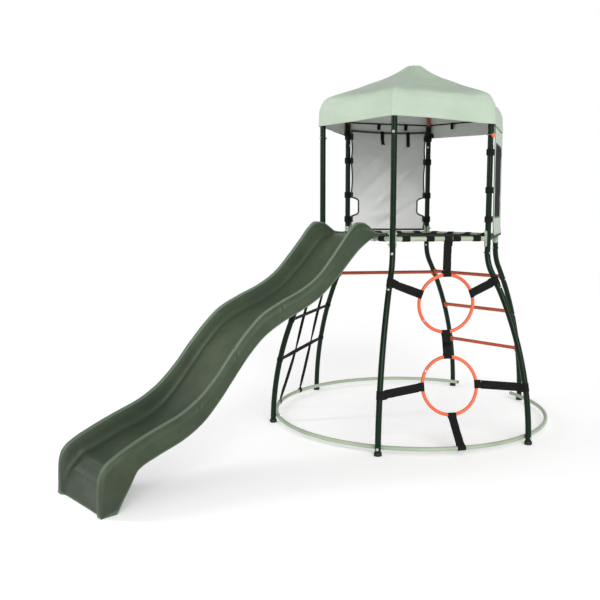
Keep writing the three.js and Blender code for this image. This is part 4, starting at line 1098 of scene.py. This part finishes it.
def wrap_band(side, lateral, z, out, height, sewn_to):
    """A hook-and-loop band round a post, with its sewn end on the wall."""
    post = side_point(side, APOTHEM, lateral, z)
    inward = polar(SIDES[side] + 90, -math.copysign(1, lateral), 0)
    loop, _ = loop_path(post, UP, inward, LEG_R + 0.0022, LEG_R + 0.0070, 40)
    second, _ = loop_path(post, UP, inward, LEG_R + 0.0048, LEG_R + 0.0110, 40)
    band = flat_section(height, 0.0024)
    tail_end = side_point(side, out, lateral - math.copysign(sewn_to, lateral), z)
    near = side_point(side, APOTHEM + (out - APOTHEM) * 0.6, lateral - math.copysign(LEG_R + 0.004, lateral), z)
    tab = np.array([near + (tail_end - near) * t for t in np.linspace(0, 1, 8)])
    return [sweep(loop, band, UP), sweep(second[6:38], flat_section(height * 0.94, 0.0022), UP),
            sweep(tab, band, UP)]


def wrinkle(lateral, z, folds):
    """Soft straight folds: each is a start, an end, a width and a depth."""
    total = 0.0
    for (x0, z0), (x1, z1), width, depth in folds:
        length = math.hypot(x1 - x0, z1 - z0)
        ux, uz = (x1 - x0) / length, (z1 - z0) / length
        along = ((lateral - x0) * ux + (z - z0) * uz) / length
        off = (lateral - x0) * -uz + (z - z0) * ux
        fade = smooth_step(along / 0.25) * smooth_step((1 - along) / 0.25)
        total += depth * fade * math.exp(-((off / width) ** 2))
    return total


def half_width(z):
    """Half width of the rear-left wall: notches low down, and edges drawn in between the bands."""
    notch = [(1.219, 0.276), (1.250, 0.277), (1.262, 0.2815), (1.318, 0.2815), (1.327, 0.262), (1.334, 0.238),
             (1.348, 0.2255), (1.430, 0.2255), (1.444, 0.238), (1.451, 0.262), (1.460, 0.2815), (1.925, 0.2815)]
    zs, ws = zip(*notch)
    width = float(np.interp(z, zs, ws))
    if z > 1.46:
        spans = (1.46, 1.710, 1.876, 1.96)
        k = 0 if z < spans[1] else 1 if z < spans[2] else 2
        t = (z - spans[k]) / (spans[k + 1] - spans[k])
        width -= (0.009, 0.007, 0.004)[k] * math.sin(math.pi * min(max(t, 0), 1))
    return width


LEFT_FOLDS = [
    ((0.25, 1.42), (-0.22, 1.88), 0.026, 0.0085), ((0.13, 1.36), (-0.27, 1.74), 0.022, -0.0065),
    ((-0.26, 1.45), (0.12, 1.23), 0.020, 0.0080), ((0.27, 1.58), (0.00, 1.80), 0.020, 0.0045),
    ((-0.27, 1.70), (-0.04, 1.60), 0.016, 0.0035), ((0.27, 1.87), (-0.02, 1.79), 0.014, 0.0040),
    ((-0.27, 1.87), (-0.06, 1.74), 0.014, 0.0040), ((0.21, 1.30), (-0.16, 1.38), 0.026, -0.0050),
]
RIGHT_FOLDS = [
    ((-0.27, 1.49), (0.12, 1.43), 0.026, 0.0030), ((0.27, 1.71), (-0.10, 1.80), 0.024, 0.0030),
    ((-0.25, 1.31), (0.20, 1.25), 0.026, 0.0028), ((0.26, 1.49), (0.02, 1.30), 0.024, -0.0026),
]


def wall_piece(name, side, rows, cols, place, materials, slots_of, extra, node):
    """A sheet of cloth set by place(height share, width share), with its bindings and bands from extra."""
    outer = np.zeros((rows, cols, 3))
    lateral_z = np.zeros((rows, cols, 2))
    for i in range(rows):
        for j in range(cols):
            lateral, z, out = place(i / (rows - 1), 2 * j / (cols - 1) - 1)
            outer[i, j] = side_point(side, out, lateral, z)
            lateral_z[i, j] = lateral, z
    thin = outer - side_axes(side)[0] * WALL_T
    verts, faces, uv, _ = shell(outer, thin, uv=lateral_z)
    flat = lateral_z.reshape(-1, 2)
    half = rows * cols
    slots = [slots_of(*flat[[k % half for k in f]].mean(0), max(f) >= half) for f in faces]
    return piece(name, [(verts, faces, uv, slots)] + extra(outer), materials, [node])


def left_place(v, u):
    rows_z = LEFT_FOOT_Z + (WALL_TOP_Z - LEFT_FOOT_Z) * v
    lateral = u * half_width(rows_z)
    z = rows_z - 0.010 * smooth_step((v - 0.9) / 0.1) * (1 - u * u)
    soft = 0.0020 * noise.noise(Vector((lateral * 7, z * 6, 2.0)))
    soft += 0.0012 * noise.noise(Vector((lateral * 22, z * 14, 5.0)))
    hold = smooth_step((1 - abs(u)) / 0.12)
    return lateral, z, APOTHEM + 0.0007 + (wrinkle(lateral, z, LEFT_FOLDS) + soft) * hold


def edge_binding(outer, out, across, slot):
    """Folded tape along the four edges of a wall."""
    parts = []
    for col, sign in ((0, 1), (-1, -1)):
        edge = outer[:, col] + across * sign * 0.0050 - out * WALL_T / 2
        parts.append(sweep(edge, flat_section(0.0115, 0.0036), across, slot=slot))
    for row, sign in ((0, 1), (-1, -1)):
        edge = outer[row] + UP * sign * 0.0065 - out * WALL_T / 2
        parts.append(sweep(edge, flat_section(0.0150, 0.0034), UP, slot=slot))
    return parts


def left_extra(outer):
    out, across = side_axes("rear_left")
    parts = edge_binding(outer, out, across, 1)
    for z in (1.300, 1.470, 1.710, 1.876):
        for lateral in (-0.300, 0.300):
            parts += [(*p[:3], 2) for p in wrap_band("rear_left", lateral, z, APOTHEM, 0.042, 0.038)]
            mark = side_point("rear_left", APOTHEM + 0.003, lateral - math.copysign(0.030, lateral), z)
            parts += box_stitch(mark, across, UP, out, 0.012, 0.034, 3)
    # A short flap of webbing leaves the wall's top corner.
    top = side_point("rear_left", APOTHEM - 0.004, -0.281, 1.902)
    keys = [top, top - across * 0.020 + UP * 0.002, top - across * 0.050 - UP * 0.004 - out * 0.008,
            top - across * 0.068 - UP * 0.014 - out * 0.014]
    parts.append(sweep(through(keys, 16), flat_section(0.024, 0.0020), UP, slot=2))
    return parts


left_wall = wall_piece(
    "rear_left_sheet", "rear_left", 150, 84, left_place, [WALL_CLOTH, BINDING, WEB, THREAD],
    lambda lateral, z, back: 0, left_extra, "wall_rear_left",
)

# The right wall from its foot to its top, as height and distance out.
RIGHT_LINE = np.array([(1.205, 0.553), (1.290, 0.546), (1.500, 0.545), (1.700, 0.5435), (1.862, 0.543),
                       (1.876, 0.5386), (1.925, 0.5386)])
# The mesh window: its two sides, foot and head.
WINDOW = (-0.205, 0.205, 1.330, 1.770)


def right_place(v, u):
    z = RIGHT_FOOT_Z + (WALL_TOP_Z - RIGHT_FOOT_Z) * v
    out = float(smooth_table(RIGHT_LINE[:, 0], RIGHT_LINE[:, 1], np.array([z]))[0]) + 0.0008
    lateral = u * (0.290 - 0.004 * math.sin(math.pi * v) ** 2)
    soft = 0.0016 * noise.noise(Vector((lateral * 7, z * 6, 12.0)))
    hold = smooth_step((1 - abs(u)) / 0.12)
    out -= 0.0050 * math.sqrt(max(0.0, 1 - u * u)) * smooth_step((z - 1.845) / 0.04)
    return lateral, z - 0.006 * smooth_step((v - 0.9) / 0.1) * (1 - u * u), \
        out + (wrinkle(lateral, z, RIGHT_FOLDS) * 0.8 + soft) * hold


def right_extra(outer):
    out, across = side_axes("rear_right")
    parts = edge_binding(outer, out, across, 2)
    rows, cols = outer.shape[:2]
    left, right = (int(round((x / 0.288 + 1) / 2 * (cols - 1))) for x in WINDOW[:2])
    low, high = (int(round((z - RIGHT_FOOT_Z) / (WALL_TOP_Z - RIGHT_FOOT_Z) * (rows - 1))) for z in WINDOW[2:])
    frame_lines = [outer[low, left:right + 1], outer[high, left:right + 1],
                   outer[low:high + 1, left], outer[low:high + 1, right]]
    for line, ref in zip(frame_lines, (UP, UP, across, across)):
        parts.append(sweep(line + out * 0.0008, flat_section(0.012, 0.0016), ref, slot=2))
        parts.append(sweep(line - out * 0.0022, flat_section(0.012, 0.0016), ref, slot=2))
    for z in (1.315, 1.489, 1.711):
        for lateral in (-0.300, 0.300):
            parts += [(*p[:3], 3) for p in wrap_band("rear_right", lateral, z, APOTHEM + 0.0225, 0.038, 0.016)]
    return parts


def window_slot(lateral, z, back):
    inside = WINDOW[0] < lateral < WINDOW[1] and WINDOW[2] < z < WINDOW[3]
    return 4 if inside else (1 if back else 0)


right_wall = wall_piece(
    "rear_right_sheet", "rear_right", 130, 84, right_place, [ROOF_OUT, ROOF_IN, BINDING, WEB, MESH],
    window_slot, right_extra, "wall_rear_right",
)

# ---- Ties ----
TIE_OUT = APOTHEM - 0.0035
# For each tie: its place across the wall, its fall as (out, up), and its twist in degrees.
tie_keys = {
    1: (0.050, [(0, 0), (-0.0010, -0.030), (-0.0060, -0.062), (-0.0150, -0.086), (-0.0235, -0.093),
                (-0.0290, -0.084)], 52),
    2: (-0.143, [(0, 0), (-0.0005, -0.035), (-0.0030, -0.070), (-0.0050, -0.106)], 9),
}
for i, (lateral, drop, twist) in tie_keys.items():
    keys = [side_point("rear_left", TIE_OUT + x, lateral + 0.05 * x, WALL_TOP_Z - 0.006 + z) for x, z in drop]
    line = through(keys, 40)
    out, across = side_axes("rear_left")
    turn = np.radians(twist) * smooth_step(np.linspace(0, 1.3, 40))[:, None]
    refs = unit(across * np.cos(turn) + out * np.sin(turn))
    tie = piece(f"tie_band_{i}", [sweep(line, flat_section(0.025, TAPE_T), refs)], WEB,
                [f"wall_tie_{i}"], f"wall_tie_{i}_body")

# ---- Ball toggle ----
ELASTIC_R = 0.0015
BALL = side_point("rear_right", 0.5374, -0.3254, 1.807)
ball_profile = [(0.0022, -0.0122), (0.0030, -0.0127), (0.0045, -0.0122)]
ball_profile += [(0.013 * math.cos(a), 0.013 * math.sin(a)) for a in np.radians(np.linspace(-66, -2, 12))]
ball_profile += [(0.01285, 0.0)]
ball_profile += [(r, -z) for r, z in ball_profile[-2::-1]]
piece("toggle_ball", [turned(ball_profile, BALL, sides=32)], BALL_PLASTIC, ["ball_toggle"])
out, across = side_axes("rear_right")
post_at = side_point("rear_right", APOTHEM, -0.300, 1.813)
loop_line, _ = loop_path(post_at, UP, BALL - post_at, LEG_R + 0.0018, 0.030, 30)
loop_cord = piece("toggle_loop", [tube(loop_line, ELASTIC_R, UP, 12, 0)], ELASTIC)
tail_keys = [(-0.0045, -0.0090), (-0.0050, -0.0180), (-0.0058, -0.0300), (-0.0062, -0.0430)]
tail_turn = np.radians(np.linspace(190, 350, 11))
tail_keys += [(0.0062 * math.cos(a), -0.0500 + 0.0068 * math.sin(a)) for a in tail_turn]
tail_keys += [(-y, z) for y, z in tail_keys[:4][::-1]]
tail_line = through([BALL + across * y + UP * z for y, z in tail_keys], 48)
tail_cord = piece("toggle_tail", [tube(tail_line, ELASTIC_R, out, 12, 0)], ELASTIC)


# ---- Floor, light, camera ----
floor_mesh = bpy.data.meshes.new("floor")
steps = np.linspace(-14, 14, 29)
floor_mesh.from_pydata([(x, y, 0) for y in steps for x in steps], [], grid_faces(29, 29))
floor_shader = Shader("floor_matte", 0.9, Specular_IOR_Level=0.1, Emission_Color=(1, 1, 1, 1),
                      Emission_Strength=0.24)
floor_shader.color(floor_shader.mix((0.90, 0.90, 0.90), (0.92, 0.92, 0.92), floor_shader.noise(0.7)))
floor_mesh.materials.append(floor_shader.material)
floor = bpy.data.objects.new("floor", floor_mesh)
bpy.context.scene.collection.objects.link(floor)

scene = bpy.context.scene
scene.view_settings.view_transform = "Standard"
world = bpy.data.worlds.new("studio")
scene.world = world
world.use_nodes = True
tree = world.node_tree
tree.nodes.clear()
fill, seen = tree.nodes.new("ShaderNodeBackground"), tree.nodes.new("ShaderNodeBackground")
fill.inputs["Color"].default_value = (1, 1, 1, 1)
fill.inputs["Strength"].default_value = 0.58
seen.inputs["Strength"].default_value = 1.0
seen.inputs["Color"].default_value = (1, 1, 1, 1)
rays, blend = tree.nodes.new("ShaderNodeLightPath"), tree.nodes.new("ShaderNodeMixShader")
result = tree.nodes.new("ShaderNodeOutputWorld")
tree.links.new(rays.outputs["Is Camera Ray"], blend.inputs["Fac"])
tree.links.new(fill.outputs[0], blend.inputs[1])
tree.links.new(seen.outputs[0], blend.inputs[2])
tree.links.new(blend.outputs[0], result.inputs["Surface"])


def lamp(name, kind, energy, location, target, **props):
    data = bpy.data.lights.new(name, kind)
    data.energy = energy
    for key, value in props.items():
        setattr(data, key, value)
    ob = bpy.data.objects.new(name, data)
    ob.location = location
    ob.rotation_euler = (Vector(target) - Vector(location)).to_track_quat("-Z", "Y").to_euler()
    scene.collection.objects.link(ob)


lamp("key", "SUN", 2.0, (4.2, -2.4, 3.2), (0, 0, 1), angle=math.radians(46))
lamp("soft_box", "AREA", 62, (-2.6, -3.6, 2.8), (0, 0, 1.1), shape="RECTANGLE", size=0.5, size_y=2.8)

camera_data = bpy.data.cameras.new("camera")
camera_data.lens, camera_data.sensor_width = 45.6078, 36
camera_data.shift_x = -7 / 120
camera = bpy.data.objects.new("camera", camera_data)
camera.location = (3.2742, -3.1095, 1.3822)
camera.rotation_euler = tuple(math.radians(a) for a in (83.0541, -0.2592, 46.2538))
scene.collection.objects.link(camera)
scene.camera = camera
